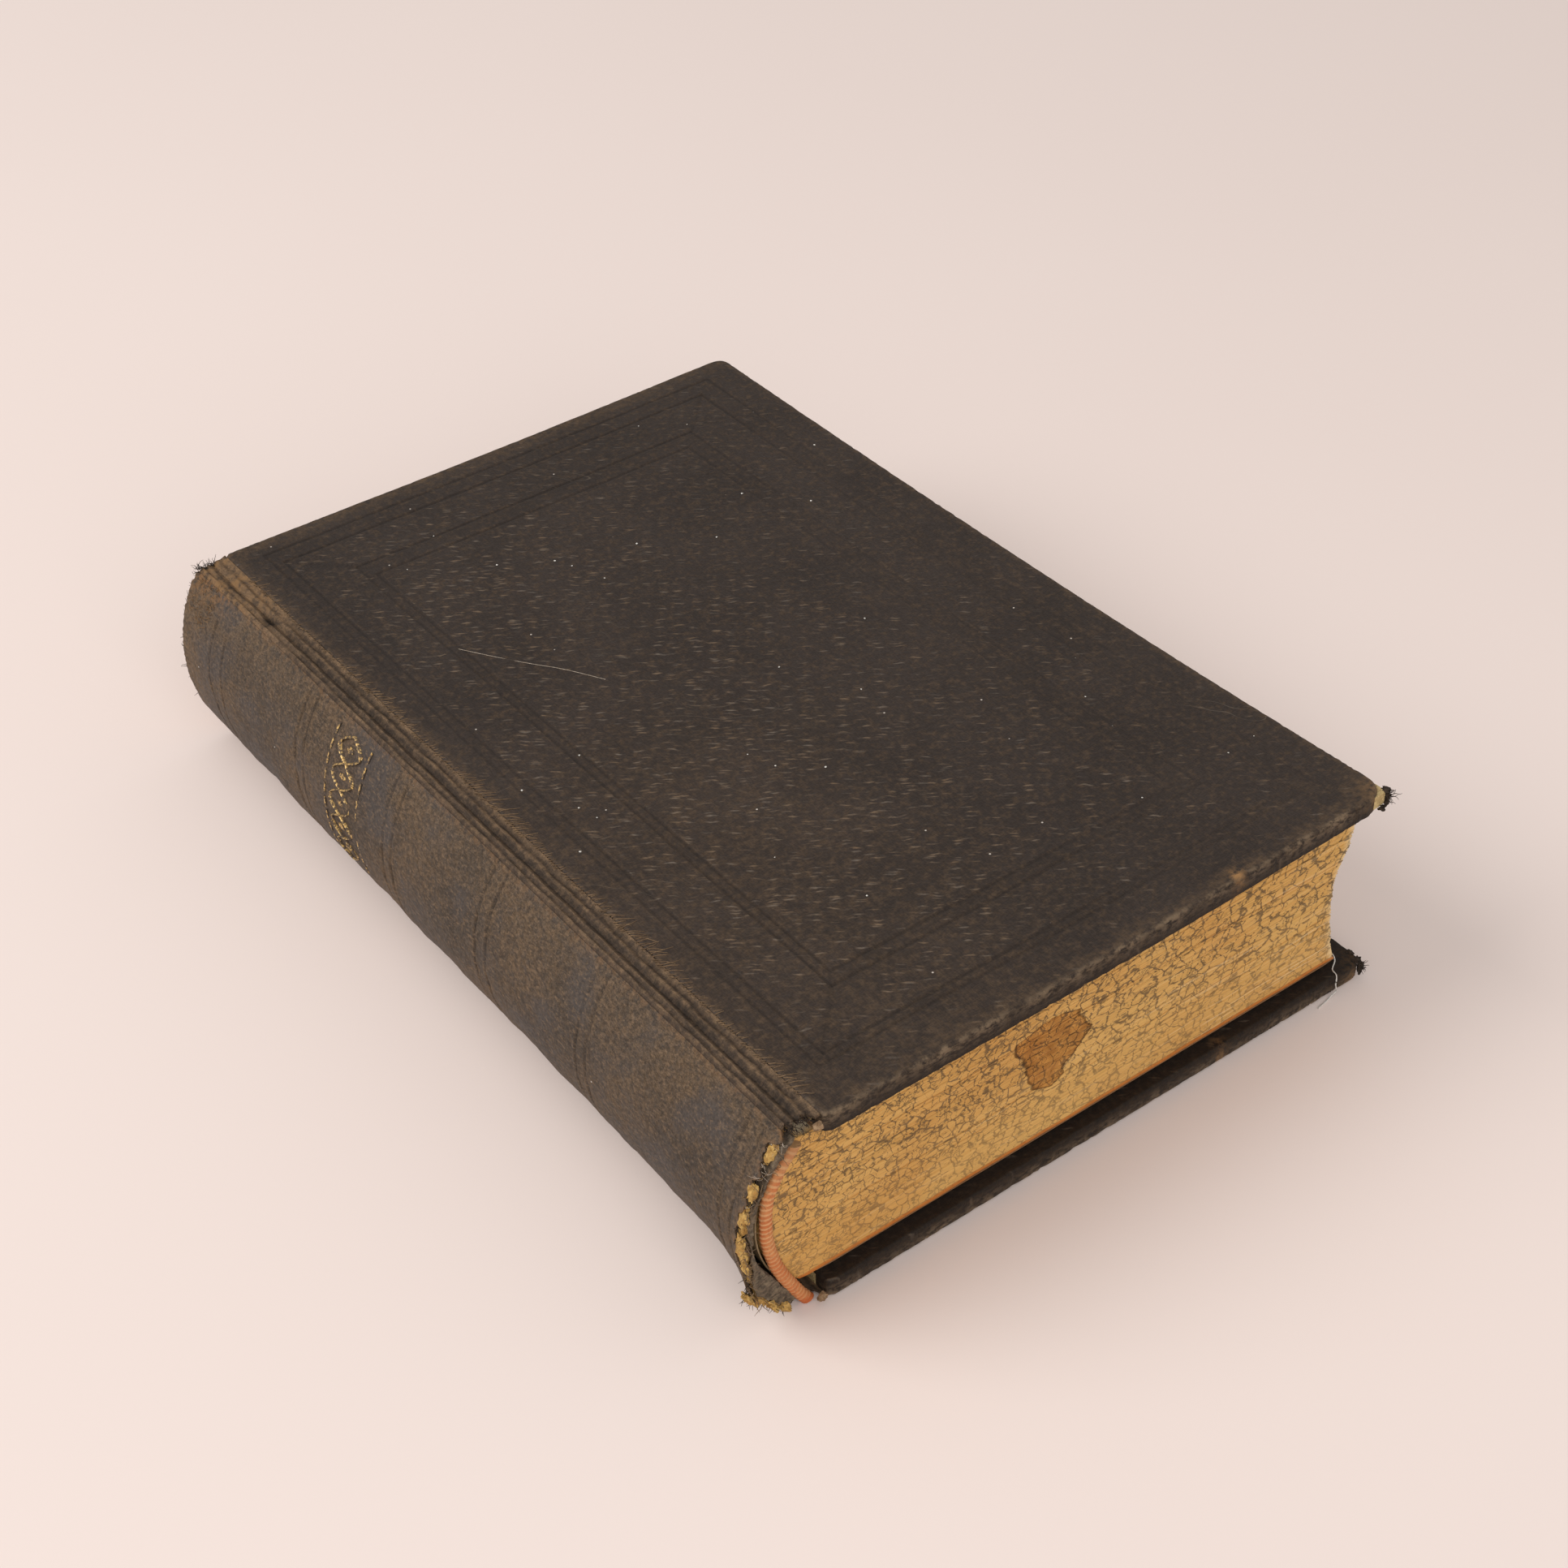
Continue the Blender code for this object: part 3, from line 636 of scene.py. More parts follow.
def cover_surface(front):
    """The cloth of one cover as a closed skin, with its point values."""
    line_x = [place for lines in FRAMES for pair in lines[:2] for place in pair]
    line_y = [place for lines in FRAMES for pair in lines[2:] for place in pair]
    xs = refined(BOARD_SPINE_X, FORE_X, 0.8, line_x, LINE_SPREAD)
    ys = refined(0.0, HEIGHT, 0.9, line_y, LINE_SPREAD)
    xs = np.unique(np.concatenate([xs, BOARD_SPINE_X + EDGE_SPREAD, FORE_X - EDGE_SPREAD]))
    ys = np.unique(np.concatenate([ys, EDGE_SPREAD, HEIGHT - EDGE_SPREAD]))
    x, y = np.meshgrid(xs, ys, indexing="ij")
    px, py, depth = rounded_plan(x, y, CORNERS if front else BACK_CORNERS)
    plan = grid(px, py)
    roll = np.clip(ARRIS - depth, 0, ARRIS)
    drop = ARRIS - np.sqrt(ARRIS ** 2 - roll ** 2)
    lines = line_distance(px, py)
    mitres = mitre_distance(px, py)
    groove = bump_at(lines, 0.0, LINE_WIDTH) + 0.6 * bump_at(mitres, 0.0, LINE_WIDTH * 1.3)
    groove = groove * (1 - 0.65 * smooth(45.0, 95.0, px) * smooth(150.0, 110.0, py))
    rim = bump_at(lines, RIM_AT, 0.2)
    framed = within(px, py, OUTER_FRAME, 0)
    border = within(px, py, OUTER_FRAME, 1) & ~within(px, py, INNER_FRAME, 0)
    grained = (border | within(px, py, INNER_FRAME, 1)) & (lines > 0.4) & (mitres > 0.35)
    pillow = 0.05 * waves(plan, 24.0, 3) + 0.02 * waves(plan, 5.0, 4)
    height = COVER - drop - LINE_DEPTH * groove + 0.03 * rim + pillow * smooth(0.5, 6.0, depth)
    # The outline is nicked a little along its edges.
    nick = np.abs(smooth(1.2, 0.0, depth) * (0.10 * waves(plan, 2.2, 7) + 0.06 * waves(plan, 0.9, 8)))
    side_x = np.sign(px - (BOARD_SPINE_X + FORE_X) / 2)
    side_y = np.sign(py - HEIGHT / 2)
    px = px - side_x * nick * smooth(1.5, 0.0, np.minimum(px - BOARD_SPINE_X, FORE_X - px))
    py = py - side_y * nick * smooth(1.5, 0.0, np.minimum(py, HEIGHT - py))
    wear = cover_wear(px, py, plan, depth, rim)
    # Painted shade: dark darkens the blind lines' grooves, more near the corner by the spine and the tail and
    # at the head, the ungrained bands of the frames a little, and the cloth's edge faces strongly.
    near_corner = bump_at(np.hypot(px - 18, (py - 20) * 0.6), 0.0, 34.0)
    dark = (0.20 + 0.22 * near_corner + 0.25 * smooth(140.0, 158.0, py)) * groove + 0.08 * (~grained & framed)
    dark = np.clip(dark + 0.8 * smooth(0.25, 0.0, depth), 0, 1)
    # Along the tail arris the cloth is rubbed and partly lit by a painted highlight.
    chalk = bump_at(depth, 0.25, 0.42) * (0.72 + 0.28 * waves(plan, 11.0, 14)) * smooth(12.0, 0.0, py)
    to_spot = np.hypot(px - 77.7, py - 0.9)
    rust = bump_at(to_spot, 0.0, 1.0) + 0.6 * bump_at(np.hypot(px - FORE_X, py), 0.0, 3.0)
    tail_zone = bump_at(px, 30, 34) * bump_at(py, 62, 58)
    head_zone = bump_at(px, 26, 30) * bump_at(py, 128, 30)
    # The grain value sets how many dashes of painted highlight show.
    grain = grained * (0.14 + 0.66 * np.maximum(tail_zone, 0.85 * head_zone))
    texture = grained * 1.0 + (~grained) * 0.12
    under_arris = ARRIS * 0.6
    under_roll = np.clip(under_arris - depth, 0, None)
    under = under_arris - np.sqrt(np.clip(under_arris ** 2 - under_roll ** 2, 0, None))
    # Each value has its numbers on the outside face, then on the face against the board.
    both = {
        "wear": (wear, 0.1 + 0.2 * smooth(1.6, 0.5, depth)),
        "chalk": (chalk, 0.0),
        # The face against the board is all painted shade.
        "dark": (dark, 1.0),
        "grain": (grain, 0.0),
        "texture": (texture, 0.1),
        "outside": (1.0, 0.0),
        "rust": (rust, 0.3 * rust),
    }
    values = {}
    for key, faces_values in both.items():
        values[key] = np.concatenate([np.broadcast_to(v, px.shape).ravel() for v in faces_values])
    points, faces = shell(grid(px, py, height), grid(px, py, under))
    if front:
        points[:, 2] += TOP - COVER + warp(points[:, 0], points[:, 1])
    else:
        points[:, 2] = COVER - points[:, 2]
        faces = faces[:, ::-1]
    return points, faces, values


def slab_grid(low, high, step, radius, warped=False, ripple=0.0, seed=1, worn_radius=None):
    """A thin sheet or board as a closed grid with rounded corners; worn_radius is the fore-tail one's."""
    x, y = np.meshgrid(refined(low[0], high[0], step), refined(low[1], high[1], step), indexing="ij")
    for sx, sy in ((-1, -1), (-1, 1), (1, -1), (1, 1)):
        reach = worn_radius if worn_radius and (sx, sy) == (1, -1) else radius
        cx = (high[0] if sx > 0 else low[0]) - sx * reach
        cy = (high[1] if sy > 0 else low[1]) - sy * reach
        a = np.clip((x - cx) * sx, 0, None)
        b = np.clip((y - cy) * sy, 0, None)
        over = np.hypot(a, b)
        pull = np.where(over > reach, reach / np.maximum(over, 1e-6), 1.0)
        inside = (a > 0) & (b > 0)
        x = np.where(inside, cx + sx * a * pull, x)
        y = np.where(inside, cy + sy * b * pull, y)
    z = ripple * waves(grid(x, y), 38.0, seed) + (warp(x, y) if warped else 0.0)
    points, faces = shell(grid(x, y, z + high[2]), grid(x, y, z + low[2]))
    depth = np.minimum(np.minimum(x - low[0], high[0] - x), np.minimum(y - low[1], high[1] - y))
    rim = smooth(1.3, 0.0, depth).ravel()
    return points, faces, {"rim": np.concatenate([rim, rim])}


def make_cover(side):
    """Cloth, board and pastedown of one cover, and its flyleaf."""
    body = f"{side}_cover"
    front = side == "front"
    cloth = cover_surface(front)
    make_piece(f"{side}_cover_skin", cloth, "cover", "cover_cloth", body, f"{side}_cover_cloth")
    low, high = book_box(f"{side}_board")
    # The board's core just shows at the edges of its worn cloth.
    high[0] += 0.25
    low[1] -= 0.15
    board = slab_grid(low, high, 1.5, BOARD_CORNER, front, worn_radius=0.5 if front else 2.0)
    make_piece(f"{side}_board_core", board, "board", "board", body, f"{side}_board")
    low, high = book_box(f"{side}_pastedown")
    # The pastedown is moved a little towards its board, clear of the flyleaf.
    shift = 0.09 if front else -0.09
    low[2] += shift
    high[2] += shift
    sheet = slab_grid(low, high, 2.5, SHEET_CORNER, front)
    make_piece(f"{side}_pastedown_paper", sheet, "endpaper", "endpaper", body, f"{side}_pastedown")
    leaf = slab_grid(*book_box(f"{side}_flyleaf"), 2.5, SHEET_CORNER, False, 0.02, 5)
    make_piece(f"{side}_flyleaf_paper", leaf, "endpaper", "endpaper", f"{side}_leaf", f"{side}_flyleaf")


for cover_side in ("front", "back"):
    make_cover(cover_side)


# ---------------------------------------------------------------- joints

JOINT_START_X = -2.25
JOINT_MIDDLE_X = 0.2
JOINT_END_X = 2.75
CLOTH = 0.45
# The cloth's ridges and grooves from the spine to the board: X, and how far it lies below the cover's top.
JOINT_PROFILE = (
    (-2.25, 1.35), (-1.95, 1.05), (-1.7, 0.80), (-1.45, 0.95), (-1.15, 1.10), (-0.85, 0.85),
    (-0.6, 0.62), (-0.35, 0.80), (-0.05, 1.05), (0.2, 1.15), (0.5, 0.95), (0.8, 0.60),
    (1.1, 0.42), (1.4, 0.55), (1.75, 0.72), (2.1, 0.60), (2.45, 0.32), (2.75, 0.20))
# The ridges that are rubbed tan: X, width and strength.
JOINT_RIDGES = ((-1.75, 0.28, 0.8), (-0.55, 0.30, 0.75), (1.15, 0.32, 0.85), (2.65, 0.55, 1.0))
JOINT_END = 0.35
JOINT_TORN_Y = 8.0


def joint_strip(start, stop):
    """A length of joint cloth between two X places, as a closed grid on the front's side of the book."""
    x, y = np.meshgrid(refined(start, stop, 0.2), refined(JOINT_END, HEIGHT - JOINT_END, 0.8), indexing="ij")
    line_x = x[..., None]
    tail = 2.7 + 0.35 * waves(line_x, 1.4, 24) + 0.2 * waves(line_x, 0.5, 25) - 1.6 * smooth(1.2, 2.6, x)
    torn = tail + (y - JOINT_END) / (JOINT_TORN_Y - JOINT_END) * (JOINT_TORN_Y - tail)
    y = np.where(y < JOINT_TORN_Y, torn, y)
    line_y = y[..., None]
    plan = grid(x, y)
    drop = np.interp(x, *zip(*JOINT_PROFILE))
    inner = (x - start) * (stop - x) / ((stop - start) / 2) ** 2
    drop = drop + inner * (0.10 * waves(grid(x * 2.5, y * 0.35), 3.0, 21) + 0.05 * waves(plan, 1.2, 22))
    hole = bump_at(y, 148.0, 2.0) * bump_at(x, -0.3, 0.8)
    slit = bump_at(y, 161.0, 4.5) * bump_at(x + 0.25 * waves(line_y, 5.0, 19), -0.6, 0.35)
    tear = np.maximum(hole, 0.8 * slit)
    drop = drop + 0.35 * tear
    points, faces = shell(grid(x, y, TOP - drop), grid(x, y, TOP - drop - CLOTH))
    ridge = np.zeros(x.shape)
    for place_x, width, strength in JOINT_RIDGES:
        ridge = np.maximum(ridge, strength * bump_at(x + 0.10 * waves(line_y, 9.0, 27), place_x, width))
    wear = np.clip(ridge * (0.85 + 0.25 * waves(plan, 8.0, 23)), 0, 1)
    # Painted shade: dark darkens the grooves along the joint, and the tear's hole and slit strongly.
    depth = 0.62 + 0.38 * waves(line_y, 22.0, 28)
    dark = 0.62 * bump_at(x, 0.25, 0.55) * depth + 0.42 * bump_at(x, 1.9, 0.32) * depth
    values = {
        "wear": np.maximum(wear, smooth(126, 150, y) * 0.8) * (1 - tear),
        "dark": np.clip(dark * smooth(158, 138, y) + tear * 1.5, 0, 1.5),
        "rust": 0.75 * smooth(140, 162, y) * (0.75 + 0.25 * waves(plan, 6.0, 29)) * (1 - tear),
    }
    return points, faces, {key: np.tile(numbers.ravel(), 2) for key, numbers in values.items()}


def turned_under(part):
    """The same strip on the back cover's side."""
    points, faces, values = part
    return points * (1, 1, -1) + (0, 0, TOP), faces[:, ::-1], values


def make_joints():
    """Each joint in two halves, the spine's and the board's, on both sides of the book."""
    spine_part = joint_strip(JOINT_START_X, JOINT_MIDDLE_X)
    board_part = joint_strip(JOINT_MIDDLE_X, JOINT_END_X)

    def place(x, z):
        return (np.array([x, HEIGHT / 2, z]) * MM + ORIGIN).tolist()

    def half(name, part, *nodes):
        return make_piece(name, part, "joint", "worn_cloth", None, *nodes)

    front_a = half("front_joint_spine_half", spine_part)
    front_b = half("front_joint_board_half", board_part, "front_joint_cloth")
    back_a = half("back_joint_spine_half", turned_under(spine_part))
    back_b = half("back_joint_board_half", turned_under(board_part), "back_joint_cloth")
    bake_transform(front_a)
    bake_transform(front_b)
    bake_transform(back_a)
    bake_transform(back_b)


make_joints()


# ---------------------------------------------------------------- torn fibres

def strand(start, way, length, bend, seed, radius=0.05):
    """A fine tapering fibre from start, heading way and wandering."""
    rng = np.random.default_rng(seed)
    steps = 9
    way = np.asarray(way, float) / np.linalg.norm(way)
    points = [np.asarray(start, float)]
    drift = rng.normal(size=3) * bend
    for _ in range(steps):
        way = way + drift / steps + rng.normal(size=3) * bend * 0.25
        way = way / np.linalg.norm(way)
        points.append(points[-1] + way * length / steps)
    return np.array(points), np.linspace(radius, radius * 0.35, steps + 1)


def frayed(name, look, body, slot, strands):
    """One piece from many strands."""
    make_piece(name, join([tube(path, radii, 5) for path, radii in strands]), look, slot, body)


def lifted(strands):
    """The strands, none of them reaching below the table."""
    for path, radii in strands:
        path[:, 2] = np.maximum(path[:, 2], radii + 0.01)
    return strands


# ---------------------------------------------------------------- spine

SPINE_LOW, SPINE_HIGH = book_box("spine_cloth")
SPINE_REACH_X = SPINE_LOW[0]
SPINE_EDGE_X = -2.3
SPINE_HALF = (SPINE_HIGH[2] - SPINE_LOW[2]) / 2
SPINE_SAG = SPINE_EDGE_X - SPINE_REACH_X
SPINE_RADIUS = (SPINE_HALF ** 2 + SPINE_SAG ** 2) / (2 * SPINE_SAG)
SPINE_CENTRE_X = SPINE_REACH_X + SPINE_RADIUS
SPINE_HALF_ANGLE = math.asin(SPINE_HALF / SPINE_RADIUS)
# The blind lines across the spine, in pairs.
SPINE_LINES = (5.2, 8.3, 42.0, 44.6, 69.2, 72.2, 97.2, 100.0, 125.8, 128.4, 155.4, 159.6)
SPINE_ENDS = (0.15, 0.3, 0.5, 0.8, HEIGHT + 0.5, HEIGHT + 1.0)
INLAY = 0.5
TORN_Y = 2.6
SETTLED_Y = 4.6
LIP_TURN = -0.66
# Torn pulp at the tail: turn, length, width, how far out of the torn edge and how deep.
PULP_LUMPS = (
    (0.84, 3.2, 1.5, 0.3, 0.2), (0.78, 1.6, 1.2, -0.9, 0.2), (0.52, 2.6, 1.5, 0.2, 0.0),
    (0.44, 1.4, 1.0, -0.6, 0.2), (0.27, 3.0, 1.9, 0.6, 0.1), (0.16, 1.5, 1.2, 0.9, 0.3),
    (-0.03, 4.4, 1.5, 0.6, -0.2), (-0.14, 3.2, 1.3, 0.9, 0.1), (-0.28, 3.4, 1.3, 0.7, 0.2),
    (-0.42, 1.6, 1.0, 0.5, 0.4), (-0.60, 2.2, 1.7, 0.3, -0.9), (-0.68, 3.0, 2.0, 0.7, -0.5),
    (-0.79, 3.4, 1.8, 0.5, -0.3), (-0.87, 2.6, 2.2, 0.8, 0.1), (-0.97, 2.2, 1.7, 0.2, 0.3))


def spine_place(turn, y, inset=0.0):
    """A point on the spine's back; turn runs from -1 at the back cover's edge to 1 at the front's."""
    turn, y = np.asarray(turn, float), np.asarray(y, float)
    angle = turn * SPINE_HALF_ANGLE
    radius = SPINE_RADIUS - inset
    near_tail = np.exp(-np.clip(y, 0, None) / 7.0)
    front_bulge = np.clip(np.cos(turn * math.pi / 2), 0, 1) ** 0.6
    bulge = np.where(turn > 0, front_bulge, np.sqrt(1 - 0.75 * turn ** 4))
    draw_in = 0.5 * smooth(HEIGHT - 40, HEIGHT, y) * np.cos(turn * math.pi / 2)
    lip = 2.4 * np.exp(-np.clip(y, 0, None) / 3.2) * bump_at(turn, LIP_TURN, 0.30)
    x = SPINE_CENTRE_X - radius * np.cos(angle) - 2.5 * near_tail * bulge - lip + draw_in
    z = MIDDLE_Z + radius * np.sin(angle) - 0.9 * near_tail * smooth(-0.35, -1.0, turn)
    return grid(x, y, np.maximum(z, 0.12))


def torn_edge(turn):
    """How far up from the tail the torn spine cloth starts."""
    line = np.asarray(turn, float)[..., None]
    jag = 0.45 * waves(line, 0.35, 31) + 0.28 * waves(line, 0.12, 32) + 0.15 * waves(line, 0.05, 33)
    return TORN_Y + jag + 1.1 * bump_at(line[..., 0], 0.0, 0.22) + 0.9 * bump_at(line[..., 0], -0.75, 0.12)


def head_edge(turn):
    """Where the worn spine cloth stops at the head."""
    line = np.asarray(turn, float)[..., None]
    return HEIGHT + 0.3 + 0.25 * waves(line, 0.4, 36) + 0.18 * waves(line, 0.09, 37)


def turn_in_depth(turn, y):
    """The turned-in cloth is bunched up against the headband low down, at its tail end only."""
    return 0.6 + smooth(2.9, 1.9, y) * (2.6 * bump_at(turn, LIP_TURN, 0.32) + 1.0 * smooth(-0.8, -1.0, turn))


def spine_surface(inset, thickness, start, stop, step_y, marks=(), seed=41, rough=1.0):
    """A curved layer of the spine between its start and stop edges, as a closed grid with its values."""
    along = np.unique(np.concatenate([refined(0.0, HEIGHT, step_y, marks, LINE_SPREAD), SPINE_ENDS]))
    turn, t = np.meshgrid(np.linspace(-1, 1, 97), along, indexing="ij")
    low = start(turn)
    y = np.where(t < SETTLED_Y, low + t / SETTLED_Y * (SETTLED_Y - low), t)
    y = np.minimum(y, stop(turn))
    flat = grid(turn * 20, y)
    lines = np.full(y.shape, FAR)
    for mark in marks:
        wander = 0.12 * waves(turn[..., None], 0.9, int(mark))
        lines = np.minimum(lines, np.abs(y - mark - wander))
    groove = bump_at(lines, 0.0, 0.26) * (0.75 + 0.25 * waves(flat, 7.0, 43))
    rim = bump_at(lines, RIM_AT, 0.22)
    relief = rough * (0.10 * waves(flat, 16.0, seed) + 0.05 * waves(flat, 4.0, seed + 1))
    relief = (relief - 0.20 * groove + 0.05 * rim) * smooth(1.0, 0.9, np.abs(turn))
    deep = thickness(turn, y) if callable(thickness) else thickness
    points, faces = shell(spine_place(turn, y, inset + deep), spine_place(turn, y, inset - relief))
    edges = 0.35 * smooth(0.4, 0.95, np.abs(turn))
    # Wear is rubbing, except along the lines' rims, where it lightens the cloth as a painted highlight.
    wear = np.clip(0.22 + edges + 0.3 * rim + 0.25 * waves(flat, 22.0, seed + 3), 0, 1)
    ends = np.maximum(smooth(14.0, 2.0, y) * 0.7, smooth(HEIGHT - 12, HEIGHT - 3, y) * 0.8)
    rust = smooth(HEIGHT - 16, HEIGHT - 5, y) * smooth(0.7, 0.98, turn) * 0.8
    values = {
        "wear": np.maximum(wear, ends),
        # Painted shade: darker in the blind lines' grooves and along the spine's low edge by the back cover.
        "dark": np.clip(0.42 * groove + 0.8 * smooth(-0.93, -1.0, turn), 0, 1),
        "rust": rust + 0.30 * smooth(0.93, 1.0, turn) + 0.35 * smooth(1.2, 0.2, y - low),
    }
    return points, faces, {k: np.concatenate([v.ravel() * 0.4, v.ravel()]) for k, v in values.items()}


def make_spine():
    """The spine's cloth, card, torn pulp and turned-in cloth."""
    cloth = spine_surface(0.0, CLOTH, torn_edge, head_edge, 1.3, SPINE_LINES)
    make_piece("spine_cloth_skin", cloth, "spine", "worn_cloth", "spine", "spine_cloth")
    card = spine_surface(
        CLOTH, INLAY, lambda turn: torn_edge(turn + 0.3) + 0.35, lambda turn: HEIGHT - 3.0, 6.0, (), 51, 0.0)
    make_piece("spine_inlay_card", card, "pulp", "board", "spine", "spine_inlay")
    lumps = []
    for turn, long, wide, out, inset in PULP_LUMPS:
        centre = spine_place(turn, torn_edge(turn) - 0.2 - out, 0.55 + inset)
        centre[2] = max(centre[2], wide * 0.62)
        lumps.append(lump(centre, (1.3, wide, long), int(60 + turn * 20), 0.36, turn * SPINE_HALF_ANGLE))
    make_piece("spine_torn_pulp", join(lumps), "pulp", "board", "spine")
    turn_in = spine_surface(
        1.15, turn_in_depth, lambda turn: 1.4 + 0.5 * (torn_edge(turn * 1.1 + 0.9) - TORN_Y),
        lambda turn: 16.0, 2.0, (), 55, 2.4)
    make_piece("spine_turn_in", turn_in, "grey_cloth", "worn_cloth", "spine")


def make_spine_fray():
    """Fibres of the turned-in cloth, of the torn tail and of the worn head."""
    rng = np.random.default_rng(58)
    fibres = []
    for k in range(90):
        turn = rng.uniform(-0.97, 0.97)
        start = spine_place(turn, 1.5 + rng.uniform(-0.5, 0.3), rng.uniform(0.3, 1.5))
        way = (rng.normal(0, 0.4), rng.normal(-0.35, 0.3), 1.0 if k % 2 else -1.0)
        fibres.append(strand(start, way, rng.uniform(0.8, 2.2), 0.8, 1200 + k, 0.07))
    frayed("spine_turn_in_fibres", "brown_fray", "spine", "worn_cloth", lifted(fibres))
    rng = np.random.default_rng(71)
    dark = []
    for k in range(150):
        turn = rng.uniform(-0.98, 0.98) if k % 3 else rng.normal(-0.72, 0.12)
        low_down = float(bump_at(turn, -0.72, 0.2))
        start = spine_place(turn, torn_edge(turn) + 0.15, 0.25 - 1.1 * low_down * rng.uniform(0, 1))
        way = (rng.normal(0, 0.35) - 1.1 * low_down, -1.0, rng.normal(0, 0.35) - 0.3 * low_down)
        dark.append(strand(start, way, rng.uniform(0.5, 1.5) + 0.6 * low_down, 0.9, 700 + k, 0.07))
    frayed("spine_tail_fray_dark", "dark_fray", "spine", "worn_cloth", lifted(dark))
    pale = []
    for k in range(34):
        turn = rng.choice([rng.uniform(0.55, 0.98), rng.uniform(-0.98, 0.98)])
        way = (rng.normal(0, 0.6), -1.0, rng.normal(0.1, 0.5))
        start = spine_place(turn, torn_edge(turn) + 0.1, 0.3)
        pale.append(strand(start, way, rng.uniform(0.8, 2.4), 1.3, 800 + k, 0.035))
    frayed("spine_tail_fray_pale", "pale_fray", "spine", "thread", lifted(pale))
    tan = []
    for k in range(90):
        turn = rng.uniform(0.55, 0.99)
        start = spine_place(turn, HEIGHT - rng.uniform(1.6, 9.0), -0.05)
        way = (rng.normal(0, 0.5), rng.normal(0.2, 0.6), rng.normal(0.2, 0.4))
        tan.append(strand(start, way, rng.uniform(0.8, 2.2), 0.9, 1500 + k, 0.06))
    frayed("spine_head_fray", "head_fray", "spine", "worn_cloth", tan)
    torn = []
    for k in range(70):
        turn = rng.uniform(-0.95, 0.98) if k % 3 else rng.uniform(0.6, 0.98)
        way = (rng.normal(0, 0.4), 1.0, rng.normal(0, 0.4))
        start = spine_place(turn, head_edge(turn) - 0.2, 0.2)
        torn.append(strand(start, way, rng.uniform(0.4, 1.3), 0.9, 1700 + k, 0.06))
    frayed("spine_head_fray_dark", "dark_fray", "spine", "worn_cloth", lifted(torn))


GILT_LOW = 108.2
GILT_HIGH = 118.4
GILT_START = -0.42
GILT_STOP = 0.90
BRAID_EYES = 5
BRAID_REACH = 3.1
DASH = 0.11


def gilt_stroke(points, width):
    """A flat worn stroke of leaf on the spine; points are (turn, y)."""
    line = np.asarray(points, float)
    count = max(8, int(len(line) * 6))
    t = np.linspace(0, len(line) - 1, count)
    turn = np.interp(t, range(len(line)), line[:, 0])
    y = np.interp(t, range(len(line)), line[:, 1])
    taper = 0.75 + 0.25 * np.sin(np.linspace(0.3, math.pi - 0.3, count))
    return tube(spine_place(turn, y, -0.06), width * taper, 8, 0.35)


def make_gilt():
    """A generic ornament in the title's place: a worn two-strand braid between rules, with no letters."""
    middle = (GILT_LOW + GILT_HIGH) / 2
    length = GILT_STOP - GILT_START
    strokes = []
    for sign in (-1, 1):
        turn = np.linspace(GILT_START, GILT_STOP, 12 * BRAID_EYES + 1)
        wave = sign * BRAID_REACH * np.sin((turn - GILT_START) / length * math.pi * BRAID_EYES)
        for k in range(0, len(turn) - 6, 6):
            strokes.append(gilt_stroke(grid(turn[k:k + 7], middle + wave[k:k + 7]), 0.42))
    for k in range(BRAID_EYES):
        centre = GILT_START + length * (k + 0.5) / BRAID_EYES
        for row, reach in ((-0.55, 0.016), (0.0, 0.030), (0.55, 0.016)):
            ends = [(centre - reach, middle + row), (centre + reach, middle + row)]
            strokes.append(gilt_stroke(ends, 0.36))
    for y in (GILT_LOW, GILT_HIGH):
        for turn in np.linspace(GILT_START, GILT_STOP - DASH, 9):
            strokes.append(gilt_stroke([(turn, y), (turn + DASH, y)], 0.24))
    make_piece("spine_gilt_ornament", join(strokes), "gilt", "worn_cloth", "spine")


make_spine()
make_spine_fray()
make_gilt()


# ---------------------------------------------------------------- text block

BLOCK_ROUND = 6.0
BLOCK_SPINE_X = -0.3
BLOCK_HALF = (BLOCK_HIGH - BLOCK_LOW) / 2
BLOCK_RADIUS = (BLOCK_HALF ** 2 + BLOCK_ROUND ** 2) / (2 * BLOCK_ROUND)
BLOCK_CENTRE_X = BLOCK_SPINE_X - BLOCK_ROUND + BLOCK_RADIUS
BLOCK_MIDDLE = (BLOCK_HIGH + BLOCK_LOW) / 2
PITCH = (BLOCK_HIGH - BLOCK_LOW) / GATHERINGS
# The hollow fore edge: Z and how far the leaves reach there.
FORE_PROFILE = (
    (4.2, 104.4), (4.8, 104.0), (7.6, 103.1), (12.4, 102.2), (17.6, 101.7),
    (22.4, 101.8), (24.9, 103.0), (27.4, 104.0), (30.0, 104.6), (32.0, 104.9))
# The headband's run over the back: Z and X.
BAND_PROFILE = (
    (0.3, 0.5), (2.5, -0.9), (5.2, -2.25), (8.0, -3.6), (11.0, -4.75), (14.5, -5.6),
    (17.5, -6.05), (22.0, -6.0), (25.0, -5.5), (29.0, -3.3), (31.8, -0.9))
# The stain on the tail edge: Z and half its width.
STAIN_PROFILE = (
    (12.0, -4.0), (13.4, 1.0), (14.8, 2.6), (17.4, 4.2), (20.4, 5.9),
    (24.0, 6.6), (25.6, 5.6), (26.6, 2.6), (27.6, -4.0))
STAIN_AT = 45.0
PAGE_ROWS = 18
CAP_INSET = 1.6
RIB_PITCH = 0.85
# The gathering whose body carries the CAD's mull, lining, tapes, stitches and bands.
LINED_GATHERING = 8


def profile(z, table):
    """A profile's value at height z."""
    return np.interp(z, *zip(*table))


